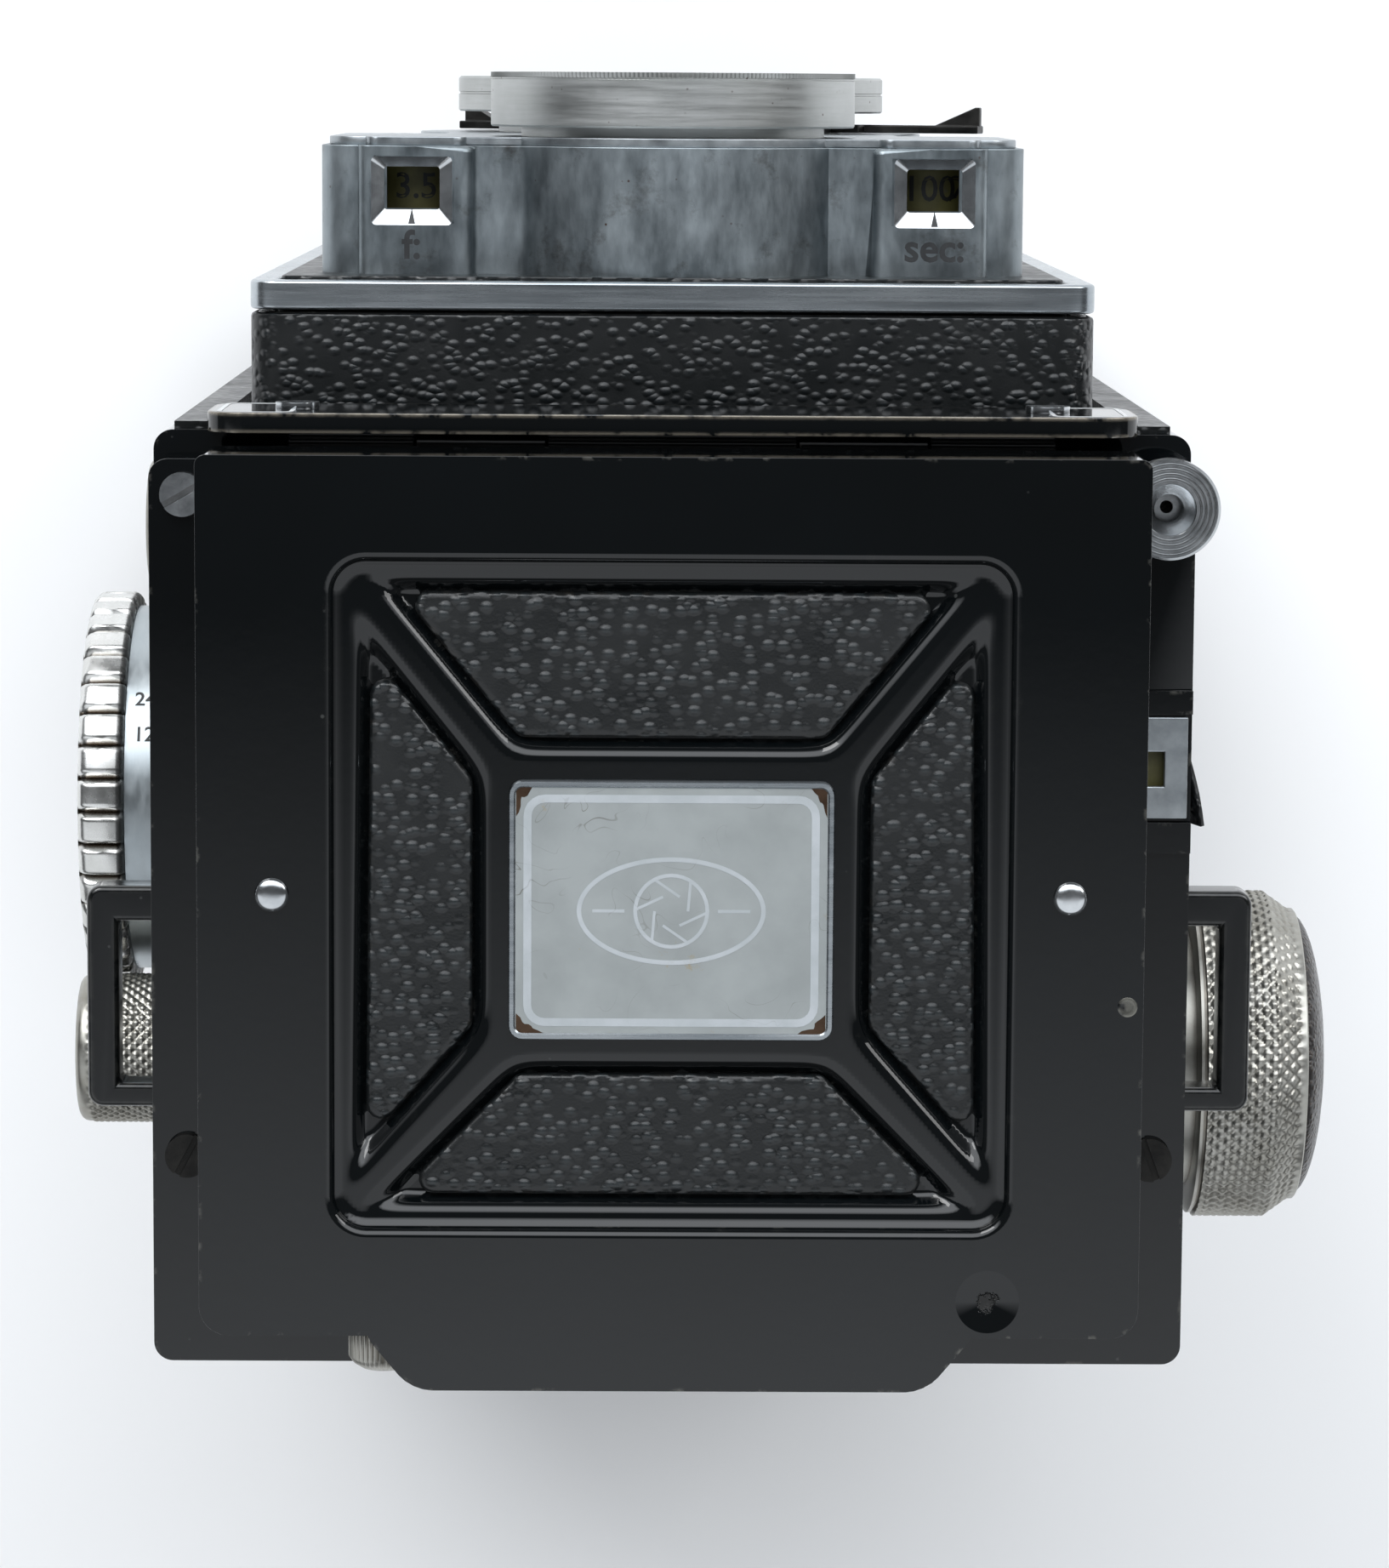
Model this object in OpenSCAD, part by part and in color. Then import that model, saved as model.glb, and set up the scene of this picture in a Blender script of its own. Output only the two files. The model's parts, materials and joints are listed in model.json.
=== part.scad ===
// Twin lens reflex camera for 120 roll film, hood closed, focused at infinity.
// Millimetres. The lenses look along -Y, +X is the focusing knob's side and +Z is up.
// The origin is the mouth of the tripod socket, level with the feet.

/* [Body] */
// Width over the side leather
body_w = 80; // [79.6:0.1:80.4]
// Front face of the casting, forward of the socket
front_y = 37; // [36.8:0.1:37.2]
// Rear face of the casting, behind the socket
rear_y = 33.6; // [33.6:0.1:33.7]
// Wall thickness of the casting
wall = 2.2; // [2:0.1:2.3]
// Underside of the top plate
shell_h = 114.5; // [114.4:0.1:114.6]
// Thickness of the top plate
plate_t = 3.5; // [3.4:0.1:3.6]
// Thickness of the covering leather
leather_t = 0.6; // [0.4:0.1:0.6]

/* [Optics] */
// Height of the taking lens
taking_z = 43; // [42.9:0.1:43.1]
// Distance between the two lenses
lens_gap = 42; // [41.9:0.1:42.1]
// Radius of the viewing lens ring
viewing_ring_r = 14.9; // [14.5:0.1:15.2]
// Radius of the taking lens ring
taking_ring_r = 19; // [18.5:0.1:19.3]
// Foremost point of the lens rings, forward of the socket
nose_y = 64.4; // [64.2:0.1:65]
// Side of the square picture
picture = 56; // [54:0.5:56]

/* [Hood] */
// Width of the closed lid
lid_w = 70.8; // [70.6:0.1:71.2]
// Front edge of the lid, forward of the socket
lid_front = 36.3; // [36.2:0.05:36.35]
// Rear edge of the lid, behind the socket
lid_rear = 30.1; // [30:0.1:30.4]
// Height of the lid above the feet
lid_top = 132; // [132:0.1:132.4]
// Thickness of the lid's sheet
lid_t = 0.9; // [0.8:0.05:0.9]
// Reach of each side flap
side_flap_w = 30.8; // [29:0.2:31]
// Reach of the rear flap
rear_flap_h = 27; // [25:0.5:27]

/* [Knobs] */
// Radius of the wind knob
wind_r = 13.8; // [12.5:0.1:14]
// Radius of the focusing knob's ribbed rim
focus_r = 16.8; // [16:0.1:17]
// Number of ribs on the focusing knob
focus_ribs = 36; // [24:2:40]
// Radius of the two spool knobs
spool_knob_r = 6.3; // [5.5:0.1:6.4]
// Radius of the release button
button_r = 3.85; // [3.7:0.05:4.2]

/* [Hidden] */
$fn = 64;

ENAMEL = "#15181b";
LEATHER = "#1d1d1f";
CHROME = "#c8cbcf";
SATIN = "#9fa3a8";
STEEL = "#7d8084";
GLASS = "#8fa6b8";
DIAL = "#c9c3a4";

// Casting
floor_z = 1;
floor_t = 1.6;
band_z = 108;
half_w = body_w / 2;
cast_x = half_w - leather_t;
inner_x = cast_x - wall;
edge_r = 1.5;
plate_top = shell_h + plate_t;
plate_x = half_w + 0.1;
plate_front = 35;
plate_rear = 35.5;
window_x = 29.5;

// Optical axes
viewing_z = taking_z + lens_gap;
duct_front = -8.8;
duct_rear = 29.2;
duct_slope = 0.263;
duct_near = 17.6;
duct_far = duct_near + duct_slope * (duct_rear - duct_front);
duct_t = 0.9;
duct_x = 28;
bulkhead_t = 1.4;
bulkhead_top = 62;
film_path_z = 11;
mirror_rise = viewing_z + 1;
mirror_t = 2;
holder_t = 1.4;

// Film spools and their axes
spool_len = 65.8;
spool_r = 12.1;
spool_core_r = 5.5;
spool_bore_r = 2.6;
spool_pin_r = 2.5;
takeup_y = 17.5;
takeup_z = 81;
supply_y = -21.5;
supply_z = 15.3;

// Knobs
focus_y = -3.3;
focus_z = 70;
drum_r = focus_r - 1.2;
focus_rim = [45.4, 49.2];
focus_shaft_end = 47;
pull_grip = [41.8, 49.5];
pull_hub_r = 4.2;
wind_grip = [-52.9, -43.8];
wind_hub_r = 11;
wind_shaft_end = 50;
wind_cap_r = 11.9;
wind_cap = [-55.3, -52.2];
knob_gap = 0.3;
shaft_r = 3;
run = 0.05;
button_x = -37.75;
button_y = -31.8;
button_z = 119.9;
button_gap = 0.3;
cable_r = 1.5;
counter_x = -34.6;
counter_y = -11.6;
counter_r = 4.2;
counter_plate_x = [-39.75, -33.8];
counter_plate_y = [-15.6, -7.7];
counter_window_x = [-37.95, -36.3];
counter_window_y = [-12.9, -10.2];

// Name plate, screws and strap lugs
name_x = 35.7;
name_t = 1.6;
name_z = [106.5, 119];
name_screw_x = 29;
name_screw_z = 113;
screw_head_r = 1.7;
lug_x = 45.8;
lug_y = [-0.95, 16.65];
lug_z = [107.9, 111.5];
slot_x = 43.3;
slot_y = [1.85, 14.75];

// Front box and lens panel
box_x = 32.8;
box_z0 = 7.6;
box_z1 = 103.4;
box_front = 45.6;
box_t = 1.2;
slide_gap = 0.3;
panel_back = 46;
panel_face = 47.9;
leather_face = 48.4;
rod_x = 27;
rod_z = [33, 99];
rod_r = 1.5;

// Lens housing
housing_x = 28.3;
housing_front = 58.6;
cover_front = 59.3;
block_x = [16, 25.2];
block_top = 97;
wing_top = 95.5;
wing_low = 68;
viewing_boss_r = 16.3;
taking_boss_r = 23;
dial_x = 20.7;
dial_z = 87.5;
dial_r = 5.4;
lever_back = 59.4;
lever_front = 60.1;
lever_collar_r = [15.5, 18.2];
fin_h = 1.6;

// Hood
hinge_y = -34.8;
hinge_z = 121.5;
skirt_z = 122.5;
flap_t = 0.6;
side_axis_x = 32.6;
side_axis_z = 119.9;
rear_axis_y = 27.4;
rear_axis_z = 125.6;
base_x = 34.2;
base_t = 0.6;
// The side walls of the hood base start behind the release button
base_wall_front = -27;
base_z = plate_top + 0.8;
pivot_y = -3.5;
pivot_z = 127.4;
rivet_x = 29.8;
recess_x = 25.2;
recess_y = [-28.4, 21.8];
recess_r = 2.4;
tab_y = 34.3;
hinge_pin_r = 0.5;
flap_pin_r = 0.4;
catch_x = 22;
catch_z = 121;
catch_pin_r = 1.2;
panel_z = 128.7;
panel_t = 0.9;
frame_z = panel_z + 2.2;
insert_gap = 0.3;
badge_y = [-12.15, 7.5];
badge_x = 12.2;

// Back door
door_y = 33.7;
door_t = 1.2;
door_axis_y = 34.3;
door_axis_z = 112.6;
knuckle_r = 0.9;

// ---- shared shapes ----

// Plain block between two corners
module block(x, y, z) {
    translate([x[0], y[0], z[0]]) cube([x[1] - x[0], y[1] - y[0], z[1] - z[0]]);
}

// Rectangle with round corners, centred
module round_rect(w, h, r) {
    square([w - 2 * r, h], center = true);
    square([w, h - 2 * r], center = true);
    for (sx = [-1, 1], sy = [-1, 1]) translate([sx * (w / 2 - r), sy * (h / 2 - r)]) circle(r);
}

// Block whose upright edges are rounded
module upright_block(x, y, z, r) {
    translate([(x[0] + x[1]) / 2, (y[0] + y[1]) / 2, z[0]]) linear_extrude(z[1] - z[0])
        round_rect(x[1] - x[0], y[1] - y[0], r);
}

// Block whose front-to-back edges are rounded
module facing_block(x, y, z, r) {
    translate([(x[0] + x[1]) / 2, y[1], (z[0] + z[1]) / 2]) rotate([90, 0, 0])
        linear_extrude(y[1] - y[0]) round_rect(x[1] - x[0], z[1] - z[0], r);
}

// Cylinders along X and along Y
module x_cylinder(x, y, z, r) {
    translate([x[0], y, z]) rotate([0, 90, 0]) cylinder(h = x[1] - x[0], r = r);
}
module y_cylinder(x, y, z, r) {
    translate([x, y[1], z]) rotate([90, 0, 0]) cylinder(h = y[1] - y[0], r = r);
}

// Turned part on a lens axis: the profile's points are [radius, distance forward]
module turned(z, profile) {
    translate([0, 0, z]) rotate([90, 0, 0]) rotate_extrude() polygon(profile);
}

// Both sides of the mirror plane
module both_sides() {
    children();
    mirror([1, 0, 0]) children();
}

// ---- body ----

module body_casting() color(ENAMEL) {
    difference() {
        union() {
            upright_block([-cast_x, cast_x], [-front_y, rear_y], [floor_z, band_z], edge_r);
            upright_block([-half_w, half_w], [-front_y, rear_y], [band_z, shell_h], edge_r);
        }
        block([-inner_x, inner_x], [wall - front_y, rear_y + 1], [floor_z + floor_t, shell_h - 2]);
        block([-window_x, window_x], [-29, 26.5], [shell_h - 3, shell_h + 1]);
        y_cylinder(0, [-front_y - 1, -front_y + wall + 1], viewing_z, 15);
        y_cylinder(0, [-front_y - 1, -front_y + wall + 1], taking_z, 14);
        for (z = rod_z) both_sides()
            y_cylinder(rod_x, [-front_y - 1, -front_y + wall + 1], z, rod_r + run);
        x_cylinder([-half_w - 1, -inner_x + 1], takeup_y, takeup_z, shaft_r + run);
        x_cylinder([inner_x - 1, half_w + 1], takeup_y, takeup_z, shaft_r + run);
        x_cylinder([inner_x - 1, half_w + 1], supply_y, supply_z, shaft_r + run);
        x_cylinder([inner_x - 1, half_w + 1], focus_y, focus_z, shaft_r + run);
        translate([0, 0, -1]) cylinder(h = 5, r = 5);
        translate([button_x, button_y, band_z + 1]) cylinder(h = 10, r = 1.4 + run);
        x_cylinder([-32, 32], door_axis_y, door_axis_z, knuckle_r + 0.3);
        for (p = top_screw_places()) translate([p[0], p[1], shell_h - 3]) cylinder(h = 4, r = 0.9);
        for (s = [-1, 1]) y_cylinder(s * name_screw_x, [-front_y - 1, 3 - front_y], name_screw_z, 0.8);
    }
    for (s = [-1, 1]) door_fixed_knuckle(s);
    x_cylinder([-inner_x, -spool_len / 2 - 0.4], supply_y, supply_z, 3.4);
    x_cylinder([-spool_len / 2 - 0.4, 4 - spool_len / 2], supply_y, supply_z, spool_pin_r);
}

module door_fixed_knuckle(side) {
    difference() {
        union() {
            x_cylinder([side * 26 - 4, side * 26 + 4], door_axis_y, door_axis_z, knuckle_r);
            block([side * 26 - 4, side * 26 + 4], [rear_y - 1.2, door_axis_y],
                  [door_axis_z, door_axis_z + knuckle_r]);
        }
        x_cylinder([side * 26 - 5, side * 26 + 5], door_axis_y, door_axis_z, hinge_pin_r + run);
    }
}

function top_screw_places() = [[37.5, -32.3], [37.4, 19.1], [-37.4, 19.1]];

module top_plate() color(ENAMEL) {
    difference() {
        union() {
            upright_block([-plate_x, plate_x], [-plate_front, plate_rear], [shell_h, plate_top], edge_r);
            block([-plate_x, -36.2], [-17.6, -15.8], [plate_top - 1, plate_top + 0.6]);
            block([-plate_x, -36.2], [-7.4, -5], [plate_top - 1, plate_top + 0.6]);
        }
        block([-30, 30], [-29.5, 27], [shell_h - 1, plate_top + 1]);
        translate([counter_x, counter_y, shell_h + 1.6]) cylinder(h = 4, r = counter_r + 0.3);
        translate([counter_x, counter_y, shell_h - 1]) cylinder(h = 6, r = 0.6 + run);
        translate([button_x, button_y, shell_h - 1]) cylinder(h = 6, r = 1.4 + run);
        translate([button_x, button_y, shell_h + 1.1]) cylinder(h = 6, r = 1.86);
        for (p = top_screw_places()) translate([p[0], p[1], shell_h - 1]) cylinder(h = 6, r = 0.9);
    }
}

module body_leather() color(LEATHER) {
    difference() {
        both_sides() block([cast_x, half_w], [0.8 - front_y, rear_y - 0.6], [floor_z + 0.8, band_z - 0.4]);
        x_cylinder([-half_w - 1, half_w + 1], takeup_y, takeup_z, 5);
        x_cylinder([0, half_w + 1], supply_y, supply_z, 5);
        x_cylinder([0, half_w + 1], focus_y, focus_z, 5);
    }
    both_sides() block([35.6, 38.6], [-front_y - 0.5, -front_y], [3, 112]);
}

module front_box() color(ENAMEL) {
    difference() {
        facing_block([-box_x, box_x], [-box_front, -front_y], [box_z0, box_z1], 2);
        facing_block([box_t - box_x, box_x - box_t], [-box_front - 1, 1 - front_y],
                     [box_z0 + box_t, box_z1 - box_t], 1);
    }
}

module front_box_leather() color(LEATHER) {
    difference() {
        facing_block([-box_x - 0.6, box_x + 0.6], [0.1 - box_front, -front_y - 0.05],
                     [box_z0 - 0.6, box_z1 + 0.6], 2.6);
        facing_block([-box_x, box_x], [-box_front - 1, 1 - front_y], [box_z0, box_z1], 2);
    }
}

module name_plate() color(ENAMEL) {
    difference() {
        facing_block([-name_x, name_x], [-front_y - name_t, -front_y], name_z, 3);
        for (s = [-1, 1]) y_cylinder(s * name_screw_x, [-front_y - 3, 1 - front_y], name_screw_z, 0.8);
    }
}

// Slotted screw standing on its shank; the head's underside is at the origin
module slotted_screw(head_r, head_h, shank_r, shank_l) {
    difference() {
        union() {
            cylinder(h = head_h, r = head_r);
            translate([0, 0, -shank_l]) cylinder(h = shank_l, r = shank_r);
        }
        translate([-head_r, -0.25, head_h - 0.45]) cube([2 * head_r, 0.5, 1]);
    }
}

module screws() color(SATIN) {
    for (p = top_screw_places())
        translate([p[0], p[1], plate_top]) slotted_screw(screw_head_r, 0.8, 0.85, 5);
    for (s = [-1, 1]) translate([s * name_screw_x, -front_y - name_t, name_screw_z]) rotate([90, 0, 0])
        slotted_screw(screw_head_r, 0.5, 0.75, 3);
}

// Loop for a carrying strap on each side of the body
module strap_lugs() color(ENAMEL) {
    both_sides() difference() {
        upright_block([half_w - 2, lug_x], lug_y, lug_z, 1.2);
        block([half_w - 3, slot_x], slot_y, [100, 120]);
        block([half_w - 3, half_w], [-2, 20], [100, 120]);
    }
}

// ---- top controls ----

module counter_plate() color(SATIN) {
    difference() {
        block(counter_plate_x, counter_plate_y, [plate_top, plate_top + 0.7]);
        block(counter_window_x, counter_window_y, [plate_top - 1, plate_top + 2]);
    }
}

module counter_disc() color(DIAL) {
    translate([counter_x, counter_y, shell_h + 2]) cylinder(h = 0.8, r = counter_r);
    translate([counter_x, counter_y, shell_h + 0.2]) cylinder(h = 1.8, r = 0.6);
}

module release_button() color(CHROME) {
    translate([button_x, button_y, 0]) difference() {
        union() {
            translate([0, 0, button_z]) cylinder(h = 2, r = button_r);
            translate([0, 0, button_z - 2.2]) cylinder(h = 2.2, r = 1.8);
            translate([0, 0, band_z + 3]) cylinder(h = button_z - band_z - 5.2, r = 1.4);
        }
        translate([0, 0, button_z - 1.2]) cylinder(h = 4, r = cable_r);
        translate([0, 0, button_z + 1.3]) cylinder(h = 0.9, r1 = cable_r, r2 = cable_r + 1);
        for (r = [2.9, 3.5]) translate([0, 0, button_z + 1.85]) difference() {
            cylinder(h = 1, r = r);
            cylinder(h = 1, r = r - 0.15);
        }
    }
}

// ---- film transport ----

module wind_knob() color(SATIN) {
    difference() {
        union() {
            x_cylinder(wind_grip, takeup_y, takeup_z, wind_r);
            x_cylinder([wind_grip[1], -half_w - knob_gap], takeup_y, takeup_z, wind_hub_r);
        }
        x_cylinder([-wind_shaft_end, -half_w], takeup_y, takeup_z, shaft_r);
        x_cylinder([wind_grip[0] - 1, wind_cap[1]], takeup_y, takeup_z, wind_cap_r + 0.1);
    }
}

module wind_knob_cap() color(LEATHER) {
    x_cylinder(wind_cap, takeup_y, takeup_z, wind_cap_r);
}

module wind_shaft() color(STEEL) {
    x_cylinder([-wind_shaft_end, -spool_len / 2 - 0.3], takeup_y, takeup_z, shaft_r);
    x_cylinder([-spool_len / 2 - 0.3, 3.7 - spool_len / 2], takeup_y, takeup_z, spool_pin_r);
}

// Film spool along X with a bore and a driving slot in each end
module film_spool(y, z) {
    half = spool_len / 2;
    difference() {
        union() {
            x_cylinder([-half, half], y, z, spool_core_r);
            for (s = [-1, 1]) x_cylinder([s * (half - 0.5) - 0.5, s * (half - 0.5) + 0.5], y, z, spool_r);
        }
        for (s = [-1, 1]) {
            x_cylinder([s * (half - 2) - 2.1, s * (half - 2) + 2.1], y, z, spool_bore_r);
            translate([s * half, y, z]) cube([2, 8, 1.1], center = true);
        }
    }
}

module takeup_spool() color(ENAMEL) film_spool(takeup_y, takeup_z);

module supply_spool() color(ENAMEL) film_spool(supply_y, supply_z);

// Sprung knob whose pin holds a spool's end
module pull_knob(y, z) {
    x_cylinder(pull_grip, y, z, spool_knob_r);
    x_cylinder([half_w + knob_gap, pull_grip[0]], y, z, pull_hub_r);
    x_cylinder([inner_x - 1, half_w + knob_gap], y, z, shaft_r);
    x_cylinder([spool_len / 2 - 3.6, inner_x - 1], y, z, spool_pin_r);
}

module takeup_pull_knob() color(SATIN) pull_knob(takeup_y, takeup_z);

module supply_pull_knob() color(SATIN) pull_knob(supply_y, supply_z);

// ---- focusing ----

module focus_knob() color(CHROME) {
    difference() {
        union() {
            x_cylinder([half_w + knob_gap, focus_rim[0]], focus_y, focus_z, drum_r);
            x_cylinder(focus_rim, focus_y, focus_z, focus_r);
        }
        x_cylinder([half_w, focus_shaft_end], focus_y, focus_z, shaft_r);
        for (i = [0 : focus_ribs - 1]) translate([(focus_rim[0] + focus_rim[1]) / 2, focus_y, focus_z])
            rotate([i * 360 / focus_ribs, 0, 0]) translate([0, 0, focus_r])
                cube([5, 0.7, 1.2], center = true);
    }
}

module focus_shaft() color(STEEL) {
    x_cylinder([33.6, focus_shaft_end], focus_y, focus_z, shaft_r);
    x_cylinder([33.8, inner_x - 0.6], focus_y + 1.5, focus_z, 5.5);
}

module lens_panel() color(ENAMEL) {
    inner = box_x - box_t - slide_gap;
    low = box_z0 + box_t + slide_gap;
    high = box_z1 - box_t - slide_gap;
    difference() {
        union() {
            facing_block([-inner, inner], [-panel_face, -panel_back], [low, high], 1);
            difference() {
                facing_block([-inner, inner], [-panel_back, -front_y - 0.4], [low, high], 1);
                facing_block([1 - inner, inner - 1], [-panel_back - 1, 1 - front_y],
                             [low + 1, high - 1], 0.5);
            }
        }
        y_cylinder(0, [-panel_face - 1, 1 - panel_back], viewing_z, 12.45);
        y_cylinder(0, [-panel_face - 1, 1 - panel_back], taking_z, 10);
    }
}

module panel_trim() color(CHROME) {
    difference() {
        facing_block([-box_x - 0.6, box_x + 0.6], [-panel_face - 0.2, -box_front - 0.2],
                     [box_z0 - 0.7, box_z1 + 0.7], 2.2);
        facing_block([slide_gap + box_t - box_x, box_x - box_t - slide_gap],
                     [-panel_face - 1, 1 - box_front],
                     [box_z0 + box_t + slide_gap, box_z1 - box_t - slide_gap], 1);
    }
}

module panel_leather() color(LEATHER) {
    inner = box_x - box_t - slide_gap - 0.3;
    difference() {
        facing_block([-inner, inner], [-leather_face, -panel_face],
                     [box_z0 + box_t + 0.6, box_z1 - box_t - 0.6], 1);
        y_cylinder(0, [-leather_face - 1, 1 - panel_face], viewing_z, 12.5);
        y_cylinder(0, [-leather_face - 1, 1 - panel_face], taking_z, 15.5);
    }
}

module guide_rods() color(STEEL) {
    for (z = rod_z) both_sides() y_cylinder(rod_x, [-panel_back, -26], z, rod_r);
}

// ---- lens housing ----

// Outline of the lens housing from the front, shrunk by an inset
module housing_outline(inset) {
    translate([0, viewing_z]) circle(viewing_boss_r - inset);
    translate([0, taking_z]) circle(taking_boss_r - inset);
    translate([0, (wing_low + wing_top) / 2])
        round_rect(2 * (housing_x - inset), wing_top - wing_low - 2 * inset, 3);
    translate([inset - 20, taking_z]) square([40 - 2 * inset, 30]);
    for (s = [-1, 1]) translate([s * (block_x[0] + block_x[1]) / 2, 85])
        round_rect(block_x[1] - block_x[0] - 2 * inset, 2 * (block_top - 85 - inset), 1);
}

module lens_housing() color(SATIN) {
    difference() {
        translate([0, -leather_face, 0]) rotate([90, 0, 0])
            linear_extrude(housing_front - leather_face) housing_outline(0);
        difference() {
            translate([0, 1 - leather_face, 0]) rotate([90, 0, 0])
                linear_extrude(housing_front - leather_face - 0.4) housing_outline(1.4);
            y_cylinder(0, [-housing_front, -leather_face], viewing_z, 14);
            y_cylinder(0, [-housing_front, -leather_face], taking_z, 17);
        }
        y_cylinder(0, [-housing_front - 1, 1 - leather_face], viewing_z, 12.5);
        y_cylinder(0, [-housing_front - 1, 1 - leather_face], taking_z, 15.5);
        both_sides() block([dial_x - 2.2, dial_x + 2.2], [-57, -53.6], [90, 100]);
        both_sides() block([dial_x - 3.2, dial_x + 3.2], [-57.8, -52.4], [block_top - 0.6, 100]);
    }
}

module face_plate() color(CHROME) {
    difference() {
        translate([0, -housing_front, 0]) rotate([90, 0, 0])
            linear_extrude(cover_front - housing_front) housing_outline(0.6);
        y_cylinder(0, [-cover_front - 1, 1 - housing_front], viewing_z, 12.5);
        y_cylinder(0, [-cover_front - 1, 1 - housing_front], taking_z, 15.5);
    }
}

module viewing_mount() color(SATIN) {
    turned(viewing_z, [[10.6, panel_back], [12.4, panel_back], [12.4, cover_front + 0.1],
                       [viewing_ring_r, cover_front + 0.1], [viewing_ring_r, nose_y],
                       [viewing_ring_r - 1.6, nose_y], [10.6, nose_y - 3.2]]);
}

module taking_mount() color(SATIN) {
    turned(taking_z, [[10, panel_face], [15.4, panel_face], [15.4, lever_front + 0.1],
                      [taking_ring_r, lever_front + 0.1], [taking_ring_r, nose_y - 0.2],
                      [taking_ring_r - 1.4, nose_y - 0.2], [taking_ring_r - 3, nose_y - 1.2],
                      [10, nose_y - 3.6]]);
}

// Lens element on an axis: a disc with one domed face, its arc in steps
module lens_element(z, r, back, front, bulge) {
    curve_r = (r * r + bulge * bulge) / (2 * bulge);
    steps = 6;
    turned(z, concat([[0, back], [r, back]],
                     [for (i = [steps : -1 : 0]) let (d = r * i / steps)
                         [d, front - curve_r + sqrt(curve_r * curve_r - d * d)]]));
}

module viewing_lens() color(GLASS) lens_element(viewing_z, 10.5, 57, 61, 1.6);

module taking_lenses() color(GLASS) {
    lens_element(taking_z, 9.9, 56.5, 60.5, 1.4);
    lens_element(taking_z, 8.4, 48.5, 51, 0.9);
}

module shutter_housing() color(STEEL) {
    turned(taking_z, [[9.9, 38.6], [15, 38.6], [15, panel_back - 0.1], [9.9, panel_back - 0.1]]);
}

module shutter_blades() color(ENAMEL) y_cylinder(0, [-42.3, -42], taking_z, 9.8);

// Lever that turns about the taking lens: a sector, an arm and a finger tab
module ring_lever(angle, half_sector, tip_r) {
    translate([0, 0, taking_z]) rotate([0, -angle, 0]) {
        translate([0, -lever_back, 0]) rotate([90, 0, 0]) linear_extrude(lever_front - lever_back) {
            intersection() {
                difference() {
                    circle(lever_collar_r[1]);
                    circle(lever_collar_r[0]);
                }
                polygon([[0, 0], [30, 30 * tan(half_sector)], [30, -30 * tan(half_sector)]]);
            }
            translate([17, -1.3]) square([tip_r - 17, 2.6]);
        }
        translate([0, 0, -0.5]) linear_extrude(1)
            polygon([[tip_r - 5.6, -lever_back], [tip_r - 0.4, -lever_front - fin_h],
                     [tip_r, -lever_front - fin_h], [tip_r, -lever_back]]);
    }
}

module aperture_lever() color(STEEL) ring_lever(-40, 9, 24.4);

module speed_lever() color(STEEL) ring_lever(165, 9, 28.4);

module cocking_lever() color(STEEL) ring_lever(-102, 9, 26);

module dial_drum() {
    difference() {
        y_cylinder(dial_x, [-56.9, -52.9], dial_z, dial_r);
        y_cylinder(dial_x, [-58, -52], dial_z, 1 + run);
    }
}

module aperture_dial() color(DIAL) dial_drum();

module speed_dial() color(DIAL) mirror([1, 0, 0]) dial_drum();

// ---- viewfinder ----

// Slab under the plane that rises at 45 degrees through the viewing axis
module sloping_slab(y, drop, t, half_x) {
    top = mirror_rise - drop * sqrt(2);
    rotate([90, 0, 90]) translate([0, 0, -half_x]) linear_extrude(2 * half_x)
        polygon([[y[0], y[0] + top], [y[1], y[1] + top],
                 [y[1] + t / sqrt(2), y[1] + top - t / sqrt(2)],
                 [y[0] + t / sqrt(2), y[0] + top - t / sqrt(2)]]);
}

module mirror_plate() sloping_slab([-25, 20], 0, mirror_t, 28);

module mirror_holder() color(STEEL) {
    sloping_slab([-24.5, 21], mirror_t + 0.02, holder_t, 33);
    block([-33, 33], [-34.6, -23.5], [57.2, 58.4]);
}

module focusing_screen() color(GLASS) {
    block([-31, 31], [-30.5, 28.5], [shell_h - 3.5, shell_h - 2]);
}

// ---- film plane and back ----

// Side profile of the light duct behind the bulkhead, grown by a thickness
module duct_profile(extra) {
    start = duct_front + bulkhead_t;
    near = duct_near + duct_slope * bulkhead_t + extra;
    far = duct_far + extra;
    polygon([[start, taking_z - near], [duct_rear, taking_z - far],
             [duct_rear, taking_z + far], [start, taking_z + near]]);
}

// Wall behind the supply spool, open for the light and for the film's path below it
module bulkhead() {
    difference() {
        block([-inner_x, inner_x], [duct_front, duct_front + bulkhead_t], [film_path_z, bulkhead_top]);
        block([-duct_x, duct_x], [duct_front - 1, duct_front + 3],
              [taking_z - duct_near, taking_z + duct_near]);
    }
}

// Flared box that keeps stray light off the film
module light_duct() {
    difference() {
        rotate([90, 0, 90]) translate([0, 0, -duct_x - duct_t])
            linear_extrude(2 * (duct_x + duct_t)) duct_profile(duct_t);
        rotate([90, 0, 90]) translate([0, 0, -duct_x]) linear_extrude(2 * duct_x) duct_profile(0);
        block([-duct_x, duct_x], [duct_rear - 1, duct_rear + 1], [taking_z - duct_far, taking_z + duct_far]);
        block([-duct_x, duct_x], [duct_front, duct_front + bulkhead_t + 1],
              [taking_z - duct_near, taking_z + duct_near]);
    }
}

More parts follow.
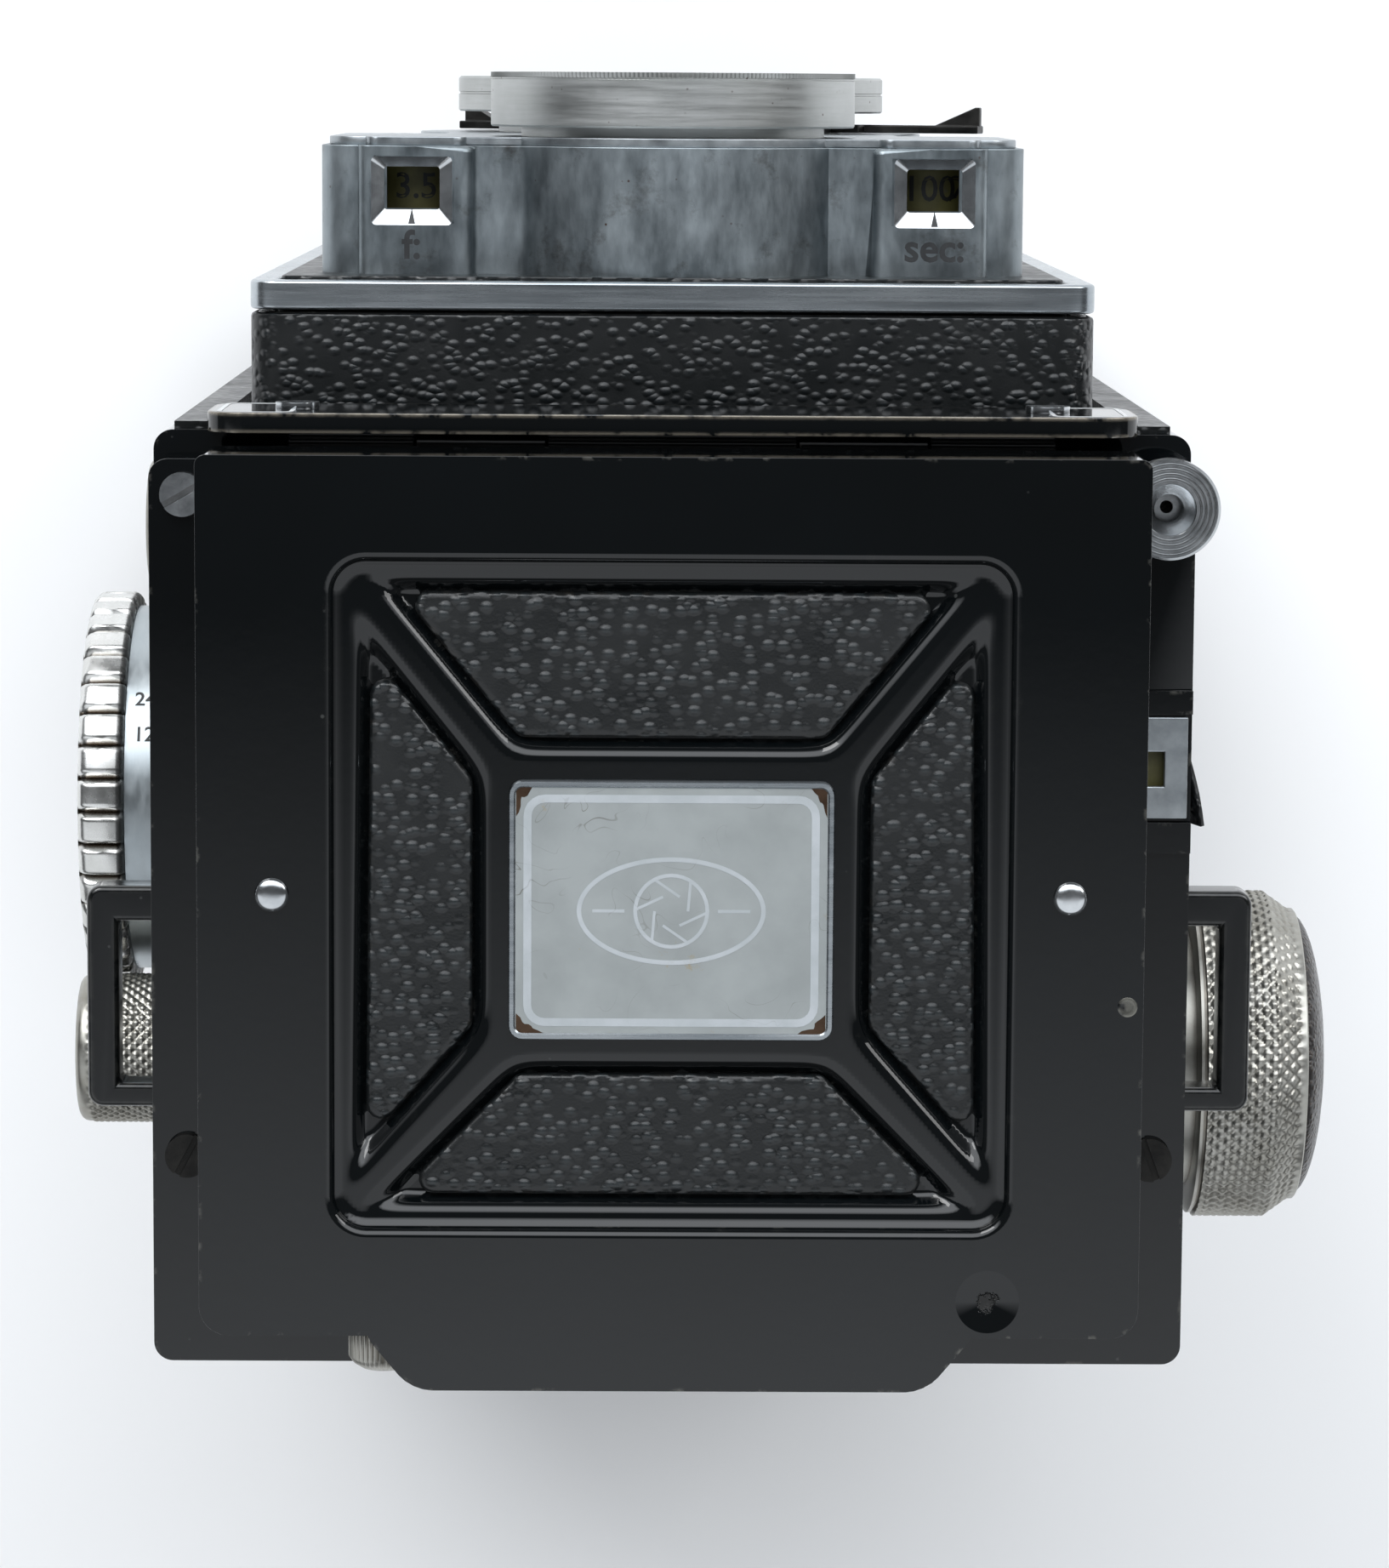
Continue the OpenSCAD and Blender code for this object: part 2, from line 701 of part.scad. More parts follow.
module film_gate() color(STEEL) {
    bulkhead();
    light_duct();
    difference() {
        block([-inner_x, inner_x], [duct_rear, duct_rear + 1.5], [12.4, 73]);
        block([-picture / 2, picture / 2], [duct_rear - 1, duct_rear + 3],
              [taking_z - picture / 2, taking_z + picture / 2]);
    }
    x_cylinder([-inner_x, inner_x], 31.2, 75, 1.7);
    x_cylinder([-inner_x, inner_x], 30.4, 9.4, 2.5);
}

module back_door() color(ENAMEL) {
    facing_block([-cast_x, cast_x], [door_y, door_y + door_t], [floor_z + 0.4, door_axis_z - 1.1], edge_r);
    difference() {
        union() {
            x_cylinder([-21.7, 21.7], door_axis_y, door_axis_z, knuckle_r);
            block([-21.7, 21.7], [door_y + 0.1, door_y + door_t], [door_axis_z - 2, door_axis_z]);
        }
        x_cylinder([-23, 23], door_axis_y, door_axis_z, hinge_pin_r + run);
    }
}

module door_leather() color(LEATHER) {
    facing_block([1 - cast_x, cast_x - 1], [door_y + door_t, door_y + door_t + 0.5],
                 [floor_z + 1.4, door_axis_z - 3], edge_r);
}

module pressure_plate() color(ENAMEL) {
    block([-32, 32], [31.2, 32], [13.4, 72]);
    for (z = [26, 60]) block([-12, 12], [32, door_y], [z - 2, z + 2]);
}

module tripod_bush() color(STEEL) {
    difference() {
        union() {
            cylinder(h = 6.5, r = 4.9);
            translate([0, 0, floor_z + floor_t]) cylinder(h = 1.2, r = 7.5);
        }
        translate([0, 0, -1]) cylinder(h = 6, r = 3.175);
    }
}

module lock_ring() color(SATIN) {
    translate([0, 0, 0.25]) difference() {
        cylinder(h = 0.7, r = 11);
        translate([0, 0, -1]) cylinder(h = 3, r = 5.2);
        for (a = [0 : 30 : 330]) rotate(a) translate([11.2, 0, -1]) cylinder(h = 3, r = 0.8);
    }
}

module feet() color(STEEL) {
    for (sx = [-1, 1], y = [-30, 27]) translate([sx * 33, y, 0]) cylinder(h = floor_z, r = 3);
}

// ---- hood ----

// Places along Y of the side hinges' moving knuckles and of the fixed ones between them
function moving_knuckles() = [[-28, -18], [-6, 4], [14, 22]];
function fixed_knuckles() = [[-17.7, -6.3], [4.3, 13.7]];
// Places along X of the lid hinge's fixed knuckles
function lid_fixed_knuckles() = [[-20, -10], [10, 20]];
function lid_moving_knuckles() = [[-30, -20.3], [-9.7, 9.7], [20.3, 30]];

module hood_base() color(ENAMEL) {
    difference() {
        union() {
            difference() {
                block([-base_x, base_x], [-plate_front, 28.8], [plate_top, base_z]);
                block([-30, 30], [-29.5, 25], [plate_top - 1, base_z + 1]);
            }
            both_sides() block([base_x - base_t, base_x], [base_wall_front, 28.8], [base_z, 122.2]);
            block([-33, 33], [28.2, 28.8], [base_z, 126.2]);
            for (k = lid_fixed_knuckles()) {
                x_cylinder(k, hinge_y, hinge_z, 1);
                block(k, [-35.4, -34.1], [plate_top, hinge_z]);
            }
            both_sides() for (k = fixed_knuckles()) {
                y_cylinder(side_axis_x, k, side_axis_z, 0.8);
                block([side_axis_x, base_x], k, [base_z, side_axis_z + 0.5]);
            }
            for (s = [-1, 1]) {
                x_cylinder([s * 26 - 3, s * 26 + 3], rear_axis_y, rear_axis_z, 0.8);
                block([s * 26 - 3, s * 26 + 3], [rear_axis_y, 28.5],
                      [rear_axis_z - 0.8, rear_axis_z + 0.3]);
            }
        }
        x_cylinder([-31, 31], hinge_y, hinge_z, hinge_pin_r + run);
        both_sides() y_cylinder(side_axis_x, [-30, 26], side_axis_z, flap_pin_r + run);
        x_cylinder([-30, 30], rear_axis_y, rear_axis_z, flap_pin_r + run);
        block([-plate_x, -33.6], [-15.8, -7.5], [plate_top - 1, plate_top + 0.9]);
        translate([button_x, button_y, plate_top - 1]) cylinder(h = 6, r = button_r + button_gap);
        y_cylinder(catch_x, [20, 30], catch_z, catch_pin_r + run);
    }
}

module hinge_pins() color(STEEL) {
    x_cylinder([-30, 30], hinge_y, hinge_z, hinge_pin_r);
    both_sides() y_cylinder(side_axis_x, [-28, 22], side_axis_z, flap_pin_r);
    x_cylinder([-29, 29], rear_axis_y, rear_axis_z, flap_pin_r);
    x_cylinder([-30, 30], door_axis_y, door_axis_z, hinge_pin_r);
}

// Outside of the lid: tight corners at the hinge, wider ones at the rear
module lid_block(half) {
    upright_block([-half, half], [-lid_front, 0], [skirt_z, lid_top], 0.8);
    upright_block([-half, half], [-5, lid_rear], [skirt_z, lid_top], 2.2);
}

module hood_lid() color(ENAMEL) {
    half = lid_w / 2;
    difference() {
        union() {
            difference() {
                lid_block(half);
                upright_block([lid_t - half, half - lid_t], [lid_t - lid_front, lid_rear - lid_t],
                              [skirt_z - 1, lid_top - lid_t], 1.2);
            }
            translate([0, 0, lid_top - lid_t]) linear_extrude(lid_t)
                polygon([[-23.2, lid_rear - 1], [23.2, lid_rear - 1], [22.4, lid_rear + 0.6],
                         [19.4, tab_y], [-19.4, tab_y], [-22.4, lid_rear + 0.6]]);
            for (k = lid_moving_knuckles()) {
                x_cylinder(k, hinge_y, hinge_z, 1);
                block(k, [-lid_front + 0.1, hinge_y + 0.9], [hinge_z, skirt_z + 1]);
            }
            both_sides() block([29, 30.6], [pivot_y - 2, pivot_y + 2],
                               [pivot_z - 1, lid_top - 0.5]);
        }
        upright_block([-recess_x, recess_x], recess_y, [lid_top - 2, lid_top + 1], recess_r);
        x_cylinder([-31, 31], hinge_y, hinge_z, hinge_pin_r + run);
        x_cylinder([-31, 31], pivot_y, pivot_z, hinge_pin_r + run);
        both_sides() translate([rivet_x, pivot_y, lid_top - 2]) cylinder(h = 5, r = 0.62);
    }
}

// Panel that closes the lid's window: a raised frame round four pockets for the leather
module lid_panel() color(ENAMEL) {
    difference() {
        block([-recess_x - 1, recess_x + 1], [recess_y[0] - 1, recess_y[1] + 1], [panel_z, lid_top - lid_t]);
        upright_block([-recess_x, recess_x], recess_y, [frame_z, lid_top], recess_r);
        translate([0, 0, panel_z + panel_t]) linear_extrude(3) insert_outlines(insert_gap);
    }
}

// Outlines of the four leather inserts, seen from above and grown by a gap
module insert_outlines(gap) {
    polygon([[-20.2 - 2 * gap, -26 - gap], [20.2 + 2 * gap, -26 - gap],
             [11.4 + gap / 2, gap - 15.3], [-11.4 - gap / 2, gap - 15.3]]);
    polygon([[-11.4 - gap / 2, 10.4 - gap], [11.4 + gap / 2, 10.4 - gap],
             [20.2 + 2 * gap, 19.4 + gap], [-20.2 - 2 * gap, 19.4 + gap]]);
    for (s = [-1, 1])
        polygon([[s * (15 - gap), -12 - gap / 2], [s * (22.4 + gap), -21.2 - 2 * gap],
                 [s * (22.8 + gap), 15.4 + 2 * gap], [s * (15 - gap), 6.6 + gap / 2]]);
}

module lid_leather() color(LEATHER) {
    translate([0, 0, panel_z + panel_t]) linear_extrude(0.8) insert_outlines(0);
}

module lid_badge() color(SATIN) {
    upright_block([-badge_x, badge_x], badge_y, [frame_z, frame_z + 0.7], 1);
}

module lid_rivets() color(CHROME) {
    both_sides() translate([rivet_x, pivot_y, lid_top]) {
        cylinder(h = 0.5, r = 1.28);
        translate([0, 0, -0.9]) cylinder(h = 0.9, r = 0.6);
    }
}

// Side flap lying flat, pointing inwards from its hinge
module side_flap() {
    front = hinge_y + 2.6;
    rear = rear_axis_y - 2.6;
    tip = side_axis_x - side_flap_w;
    difference() {
        union() {
            translate([0, 0, side_axis_z - flap_t / 2]) linear_extrude(flap_t)
                polygon([[side_axis_x - 1.1, front], [15.6, front], [tip, front + 10.4],
                         [tip, rear - 0.5 * side_flap_w], [side_axis_x - 1.1, rear - 0.6]]);
            for (k = moving_knuckles()) {
                y_cylinder(side_axis_x, k, side_axis_z, 0.8);
                block([side_axis_x - 1.3, side_axis_x], k,
                      [side_axis_z - flap_t / 2, side_axis_z + flap_t / 2]);
            }
        }
        y_cylinder(side_axis_x, [-30, 26], side_axis_z, flap_pin_r + run);
    }
}

module side_flap_left() color(ENAMEL) side_flap();

module side_flap_right() color(ENAMEL) mirror([1, 0, 0]) side_flap();

module rear_flap() color(ENAMEL) {
    difference() {
        union() {
            block([-30.5, 30.5], [rear_axis_y - rear_flap_h, rear_axis_y - 1.1],
                  [rear_axis_z - flap_t / 2, rear_axis_z + flap_t / 2]);
            block([-22.7, 22.7], [rear_axis_y - 1.3, rear_axis_y],
                  [rear_axis_z - flap_t / 2, rear_axis_z + flap_t / 2]);
            x_cylinder([-22.7, 22.7], rear_axis_y, rear_axis_z, 0.8);
        }
        x_cylinder([-30, 30], rear_axis_y, rear_axis_z, flap_pin_r + run);
    }
}

module magnifier_frame() color(ENAMEL) {
    difference() {
        block([-28.5, 28.5], [pivot_y - 0.8, 25], [pivot_z - 0.6, pivot_z + 0.6]);
        translate([0, 12, pivot_z - 2]) cylinder(h = 4, r = 11);
    }
    x_cylinder([-30.5, 30.5], pivot_y, pivot_z, hinge_pin_r);
}

module magnifier_lens() color(GLASS) {
    translate([0, 12, pivot_z - 0.6]) cylinder(h = 1.2, r = 11);
}

module hood_catch() color(SATIN) {
    y_cylinder(catch_x, [31.6, 34.6], catch_z, 2.75);
    y_cylinder(catch_x, [34.6, 35.2], catch_z, 2.2);
    y_cylinder(catch_x, [26.4, 31.6], catch_z, catch_pin_r);
}

body_casting();
top_plate();
body_leather();
front_box();
front_box_leather();
name_plate();
screws();
strap_lugs();
counter_plate();
counter_disc();
release_button();
wind_knob();
wind_knob_cap();
wind_shaft();
takeup_spool();
supply_spool();
takeup_pull_knob();
supply_pull_knob();
focus_knob();
focus_shaft();
lens_panel();
panel_trim();
panel_leather();
guide_rods();
lens_housing();
face_plate();
viewing_mount();
viewing_lens();
taking_mount();
taking_lenses();
shutter_housing();
shutter_blades();
aperture_lever();
speed_lever();
cocking_lever();
aperture_dial();
speed_dial();
color(CHROME) mirror_plate();  // mirror
mirror_holder();
focusing_screen();
film_gate();
back_door();
door_leather();
pressure_plate();
tripod_bush();
lock_ring();
feet();
hood_base();
hinge_pins();
hood_lid();
lid_panel();
lid_leather();
lid_badge();
lid_rivets();
side_flap_left();
side_flap_right();
rear_flap();
magnifier_frame();
magnifier_lens();
hood_catch();
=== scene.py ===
"""Looks of a folding-hood twin lens reflex camera: finishes, detailed pieces, light and view."""

import json
import math

import bmesh
import bpy
from mathutils import Matrix, Vector


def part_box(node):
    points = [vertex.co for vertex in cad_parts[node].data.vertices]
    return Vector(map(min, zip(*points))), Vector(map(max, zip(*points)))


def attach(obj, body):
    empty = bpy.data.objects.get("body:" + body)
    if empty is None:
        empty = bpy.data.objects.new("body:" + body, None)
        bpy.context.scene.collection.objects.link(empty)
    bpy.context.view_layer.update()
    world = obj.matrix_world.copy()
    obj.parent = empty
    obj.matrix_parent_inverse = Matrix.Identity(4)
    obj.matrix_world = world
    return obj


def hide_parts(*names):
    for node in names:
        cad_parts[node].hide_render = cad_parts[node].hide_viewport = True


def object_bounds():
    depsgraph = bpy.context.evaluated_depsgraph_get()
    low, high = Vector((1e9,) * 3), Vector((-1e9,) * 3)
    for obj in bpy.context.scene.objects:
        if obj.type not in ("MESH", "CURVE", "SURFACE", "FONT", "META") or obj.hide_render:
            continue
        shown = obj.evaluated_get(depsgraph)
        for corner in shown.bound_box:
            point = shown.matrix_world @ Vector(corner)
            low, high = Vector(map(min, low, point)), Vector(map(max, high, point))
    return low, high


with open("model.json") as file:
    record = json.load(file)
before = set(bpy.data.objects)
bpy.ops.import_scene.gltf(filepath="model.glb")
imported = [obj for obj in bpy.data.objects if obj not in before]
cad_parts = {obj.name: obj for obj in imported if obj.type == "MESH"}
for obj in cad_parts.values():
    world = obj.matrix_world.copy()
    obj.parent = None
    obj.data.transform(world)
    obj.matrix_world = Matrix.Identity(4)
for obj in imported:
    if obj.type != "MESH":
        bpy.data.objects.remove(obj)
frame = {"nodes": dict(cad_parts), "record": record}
CAD_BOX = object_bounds()
MM = 0.001
TAU = 2 * math.pi
record = frame["record"]
BODY_OF = {n: body for body, nodes in record["behaviour"]["bodies"].items() for n in nodes}


def edges_of(node):
    """The lowest and highest corner of a CAD node, in millimetres."""
    low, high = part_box(node)
    return low / MM, high / MM


# ---- finishes ----


def linear(colour):
    """The linear colour of an sRGB hex value."""
    parts = [int(colour[i:i + 2], 16) / 255 for i in (1, 3, 5)]
    return (*[c / 12.92 if c <= 0.04045 else ((c + 0.055) / 1.055) ** 2.4 for c in parts], 1.0)


def add(tree, kind, settings=None, links=None):
    """Adds one node: settings go to its properties or sockets, links join its sockets to other nodes."""
    made = tree.nodes.new(kind)
    for name, value in (settings or {}).items():
        if isinstance(name, str) and hasattr(made, name):
            setattr(made, name, value)
        else:
            made.inputs[name].default_value = value
    for name, source in (links or {}).items():
        socket = source.outputs[0] if isinstance(source, bpy.types.Node) else source
        tree.links.new(socket, made.inputs[name])
    return made


def start(name, **constants):
    """A new material: its node tree, its shader and its place on the part in metres."""
    material = bpy.data.materials.new(name)
    material.use_nodes = True
    tree = material.node_tree
    tree.nodes.clear()
    shader = add(tree, "ShaderNodeBsdfPrincipled", constants)
    add(tree, "ShaderNodeOutputMaterial", links={"Surface": shader})
    place = add(tree, "ShaderNodeTexCoord").outputs["Object"]
    return material, tree, shader, place


def noise(tree, place, size, detail=3.0, rough=0.55):
    """Cloudy pattern whose blotches are about size millimetres across."""
    settings = {"Scale": 1 / (size * MM), "Detail": detail, "Roughness": rough}
    return add(tree, "ShaderNodeTexNoise", settings, {"Vector": place}).outputs["Fac"]


def remap(tree, value, low, high, to_low=0.0, to_high=1.0):
    """Stretches a value from one range to another and stops at its ends."""
    settings = {"From Min": low, "From Max": high, "To Min": to_low, "To Max": to_high}
    return add(tree, "ShaderNodeMapRange", settings, {"Value": value}).outputs["Result"]


def combine(tree, operation, first, second):
    """One sum of two values, either of which may be a plain number."""
    made = add(tree, "ShaderNodeMath", {"operation": operation})
    for socket, value in ((0, first), (1, second)):
        if isinstance(value, (int, float)):
            made.inputs[socket].default_value = value
        else:
            tree.links.new(value, made.inputs[socket])
    return made.outputs[0]


def blend_colour(tree, mask, below, above):
    """One colour over another where the mask is high; each is a hex value or a socket."""
    made = add(tree, "ShaderNodeMix", {"data_type": "RGBA"}, {0: mask})
    for socket, colour in ((6, below), (7, above)):
        if isinstance(colour, str):
            made.inputs[socket].default_value = linear(colour)
        else:
            tree.links.new(colour, made.inputs[socket])
    return made.outputs[2]


def edge_wear(tree, place, reach, amount):
    """Mask of the outer edges rubbed bare: high within reach millimetres of an edge, broken up by noise."""
    settings = {"inside": True, "only_local": True, "samples": 6, "Distance": reach * MM}
    open_inside = add(tree, "ShaderNodeAmbientOcclusion", settings).outputs["AO"]
    edge = remap(tree, open_inside, 0.93, 0.60)
    broken = remap(tree, noise(tree, place, 1.4, 4.0), 0.62 - 0.3 * amount, 0.78 - 0.3 * amount)
    return combine(tree, "MULTIPLY", edge, broken)


def crevice(tree, reach, low=0.95, high=0.45):
    """Mask of grooves and inner corners, where dirt collects."""
    settings = {"only_local": True, "samples": 6, "Distance": reach * MM}
    open_outside = add(tree, "ShaderNodeAmbientOcclusion", settings).outputs["AO"]
    return remap(tree, open_outside, low, high)


def specks(tree, place, size, share):
    """Mask of small round specks, one in each cell of size millimetres, share of them showing."""
    cells = add(tree, "ShaderNodeTexVoronoi", {"Scale": 1 / (size * MM)}, {"Vector": place})
    round_spot = remap(tree, cells.outputs["Distance"], 0.14, 0.07)
    chosen = remap(tree, cells.outputs["Color"], 1 - share, 1 - share + 0.01)
    return combine(tree, "MULTIPLY", round_spot, chosen)


def stove_enamel(name, body="#050708", worn="#6c6b66", wear=0.12, rough=0.035, dent=None):
    """Gloss black stove enamel over cast alloy or sheet: deep, slightly uneven, with dust and rubbed edges.
    A dent is a place in millimetres where the sheet is knocked in and the enamel has cracked in a star."""
    material, tree, shader, place = start(name, IOR=1.5)
    smudge = noise(tree, place, 11, 5.0, 0.6)
    dust = specks(tree, place, 1.3, 0.10)
    edge = edge_wear(tree, place, 0.35, wear)
    black = blend_colour(tree, remap(tree, noise(tree, place, 30), 0.35, 0.7), body, "#070a0c")
    dusty = blend_colour(tree, combine(tree, "MULTIPLY", dust, 0.22), black, "#6c6e6c")
    colour = blend_colour(tree, edge, dusty, worn)
    gloss = combine(tree, "ADD", remap(tree, smudge, 0.5, 0.8, rough, rough + 0.035),
                    combine(tree, "MULTIPLY", edge, 0.22))
    height = combine(tree, "MULTIPLY", noise(tree, place, 1.2, 2.0), 0.0012)
    if dent:
        centre = tuple(c * MM for c in dent)
        reach = add(tree, "ShaderNodeVectorMath", {"operation": "DISTANCE", 1: centre}, {0: place})
        hollow = remap(tree, reach.outputs["Value"], 0.0, 2.4 * MM, 1.0, 0.0)
        flaked = combine(tree, "ADD", hollow, noise(tree, place, 0.8, 4.0, 0.7))
        star = remap(tree, flaked, 1.18, 1.3)
        colour = blend_colour(tree, star, colour, "#0b0b0a")
        gloss = combine(tree, "ADD", gloss, combine(tree, "MULTIPLY", star, 0.5))
        height = combine(tree, "SUBTRACT", height, combine(tree, "MULTIPLY", hollow, 0.35))
        height = combine(tree, "SUBTRACT", height, combine(tree, "MULTIPLY", star, 0.12))
    peel = add(tree, "ShaderNodeBump", {"Strength": 1.0, "Distance": MM}, {"Height": height})
    metal = combine(tree, "MULTIPLY", edge, 0.8)
    for socket, source in (("Base Color", colour), ("Roughness", gloss), ("Metallic", metal),
                           ("Normal", peel.outputs[0])):
        tree.links.new(source, shader.inputs[socket])
    return material


def pebbled_leather(name, grain=0.8, body="#0a0d0e", crown="#14181a", glue="#3b3228", gluey=0.0, deep=0.11):
    """Embossed black leather: rounded pebbles about grain millimetres across that shine on their crowns."""
    material, tree, shader, place = start(name, IOR=1.5)
    longer = {"operation": "MULTIPLY", 1: (0.82, 1.12, 1.0)}
    wide = add(tree, "ShaderNodeVectorMath", longer, {0: place}).outputs[0]
    slow = {"Scale": 1 / (2.2 * grain * MM), "Detail": 1.0}
    drift = add(tree, "ShaderNodeTexNoise", slow, {"Vector": wide})
    shift = add(tree, "ShaderNodeVectorMath", {"operation": "SCALE", "Scale": 0.18 * grain * MM},
                {0: drift.outputs["Color"]})
    bent = add(tree, "ShaderNodeVectorMath", {"operation": "ADD"}, {0: wide, 1: shift.outputs[0]}).outputs[0]
    settings = {"feature": "SMOOTH_F1", "Scale": 1 / (grain * MM), "Smoothness": 0.15}
    pebble = add(tree, "ShaderNodeTexVoronoi", settings, {"Vector": bent}).outputs["Distance"]
    crowned = {"interpolation_type": "SMOOTHSTEP", "From Min": 0.62, "From Max": 0.08}
    dome = add(tree, "ShaderNodeMapRange", crowned, {"Value": pebble}).outputs["Result"]
    pores = noise(tree, place, 0.2, 3.0)
    height = combine(tree, "ADD", dome, combine(tree, "MULTIPLY", pores, 0.12))
    swell = combine(tree, "ADD", height, combine(tree, "MULTIPLY", noise(tree, place, 3.2, 2.0), 0.3))
    relief = add(tree, "ShaderNodeBump", {"Strength": 1.0, "Distance": deep * MM}, {"Height": swell})
    tint = blend_colour(tree, remap(tree, height, 0.2, 1.05), body, crown)
    edge = combine(tree, "MULTIPLY", edge_wear(tree, place, 0.5, 0.3), gluey)
    dust = combine(tree, "MULTIPLY", specks(tree, place, 2.0, 0.08), 0.4)
    colour = blend_colour(tree, edge, blend_colour(tree, dust, tint, "#8f877a"), glue)
    gloss = remap(tree, noise(tree, place, 5, 3.0), 0.3, 0.7, 0.27, 0.42)
    for socket, source in (("Base Color", colour), ("Roughness", gloss), ("Normal", relief.outputs[0])):
        tree.links.new(source, shader.inputs[socket])
    return material


def plated(name, bright, dull, rough, stretch=(1, 1, 1), grain=0.12, relief=0.25, stain=0.0, rust=0.0,
           groove=0.0):
    """Plated or bare metal: bright is the clean finish and dull its shaded streaks. Stretch draws the
    streaks out along an axis, as a lathe or a brush leaves them; stain, rust and groove add age."""
    material, tree, shader, place = start(name, Metallic=1.0)
    drawn = add(tree, "ShaderNodeVectorMath", {"operation": "MULTIPLY", 1: stretch}, {0: place}).outputs[0]
    streak = noise(tree, drawn, 2.2, 5.0, 0.65)
    cloud = noise(tree, place, 9, 4.0)
    colour = blend_colour(tree, remap(tree, combine(tree, "ADD", streak, cloud), 0.75, 1.25), dull, bright)
    if stain:
        patch = remap(tree, noise(tree, place, 4.0, 6.0, 0.7), 0.72 - 0.2 * stain, 0.80 - 0.1 * stain)
        colour = blend_colour(tree, combine(tree, "MULTIPLY", patch, 0.6), colour, "#3d362f")
    if rust:
        where = remap(tree, noise(tree, place, 6.0, 3.0), 0.5, 0.62)
        spots = combine(tree, "MULTIPLY", specks(tree, place, 0.9, rust), where)
        colour = blend_colour(tree, spots, colour, "#4a2c1c")
    if groove:
        dirt = combine(tree, "MULTIPLY", crevice(tree, 0.5), groove)
        colour = blend_colour(tree, dirt, colour, "#4b3f31")
    gloss = remap(tree, streak, 0.3, 0.7, rough * 0.8, rough * 1.25)
    fine = noise(tree, drawn, grain, 2.0)
    bump = add(tree, "ShaderNodeBump", {"Strength": relief, "Distance": 0.02 * MM}, {"Height": fine})
    for socket, source in (("Base Color", colour), ("Roughness", gloss), ("Normal", bump.outputs[0])):
        tree.links.new(source, shader.inputs[socket])
    return material


def lacquer(name, body, shade, rough, blot=3.0, age=0.0, metallic=0.0):
    """Painted or lacquered surface in two close tones, with fine hairline scratches and a dusty grain."""
    material, tree, shader, place = start(name, Metallic=metallic, IOR=1.5)
    cloud = remap(tree, noise(tree, place, blot, 5.0), 0.35, 0.65)
    colour = blend_colour(tree, cloud, body, shade)
    if age:
        twisted = {"Scale": 210.0, "Detail": 1.0, "Distortion": 1.2}
        thread = add(tree, "ShaderNodeTexNoise", twisted, {"Vector": place}).outputs["Fac"]
        off_line = combine(tree, "ABSOLUTE", combine(tree, "SUBTRACT", thread, 0.5), 0.0)
        line = remap(tree, off_line, 0.0035, 0.0015)
        faint = remap(tree, noise(tree, place, 7.0), 0.48, 0.62, 0.0, age)
        colour = blend_colour(tree, combine(tree, "MULTIPLY", line, faint), colour, "#5b5a55")
        rubbed = remap(tree, noise(tree, place, 2.6, 6.0, 0.75), 0.66, 0.74, 0.0, age)
        colour = blend_colour(tree, rubbed, colour, "#8d8268")
    gloss = remap(tree, noise(tree, place, 1.5, 3.0), 0.3, 0.7, rough * 0.85, rough * 1.15)
    grain = noise(tree, place, 0.3)
    bump = add(tree, "ShaderNodeBump", {"Strength": 0.2, "Distance": 0.01 * MM}, {"Height": grain})
    for socket, source in (("Base Color", colour), ("Roughness", gloss), ("Normal", bump.outputs[0])):
        tree.links.new(source, shader.inputs[socket])
    return material


def coated_glass(name, tint, bloom, rough=0.02):
    """Coated optical glass: clear, with a faint coloured bloom that varies over the surface."""
    material, tree, shader, place = start(name, IOR=1.52)
    shader.inputs["Transmission Weight"].default_value = 0.9
    colour = blend_colour(tree, remap(tree, noise(tree, place, 12, 2.0), 0.3, 0.7), tint, bloom)
    gloss = remap(tree, noise(tree, place, 3, 4.0), 0.4, 0.8, rough, rough + 0.06)
    tree.links.new(colour, shader.inputs["Base Color"])
    tree.links.new(gloss, shader.inputs["Roughness"])
    return material


DENT = (-24.0, 27.3, 132.0)
# Stove enamel baked on cast alloy: black and wet-looking, with faint orange peel
ENAMEL = stove_enamel("stove_enamel_gloss")
# The same enamel where the lid was knocked: a small hollow with flaked paint round it
LID_ENAMEL = stove_enamel("stove_enamel_knocked", dent=DENT)
# Enamel a strap has rubbed: duller, with grey metal along the edges
RUBBED_ENAMEL = stove_enamel("stove_enamel_rubbed", worn="#77766f", wear=0.7, rough=0.14)
# Enamel worn to warm bare metal all along a thin plate's edges
PLATE_ENAMEL = stove_enamel("stove_enamel_bare_edge", worn="#a39b8d", wear=0.9, rough=0.08)
# Matt lacquer brushed on inside: it swallows stray light
INNER_BLACK = lacquer("matt_black_lacquer", "#121314", "#1b1c1d", 0.6)
# Embossed leather: pebbles about 0.8 mm across, dark between and shiny on top
LEATHER = pebbled_leather("pebbled_leather")
# Leather cut into the lid: slightly coarser, with brown glue at its edges
INSERT_LEATHER = pebbled_leather("pebbled_leather_insert", grain=0.88, crown="#1c2123", gluey=0.8, deep=0.13)
# Old brown-black leather on the knob: fine grain, dry and browned
CAP_LEATHER = pebbled_leather("worn_leather_cap", grain=0.5, body="#171210", crown="#3a322b", deep=0.1)
# Satin chrome on the lens housing: clouded, stained and a little rusty
HOUSING = plated("satin_chrome_housing", "#9aa2a6", "#6f777b", 0.4, (1, 0.35, 1), stain=0.75, rust=0.4)
# Turned satin chrome: fine tool marks run round the rings
BRUSHED_RING = plated("turned_satin_ring", "#bfc1c0", "#a3a5a3", 0.4, (0.2, 4, 0.2), stain=0.1, rust=0.35)
# Satin chrome: soft even grey shine
SATIN = plated("satin_chrome", "#b0b5b8", "#8f9599", 0.36, stain=0.1)
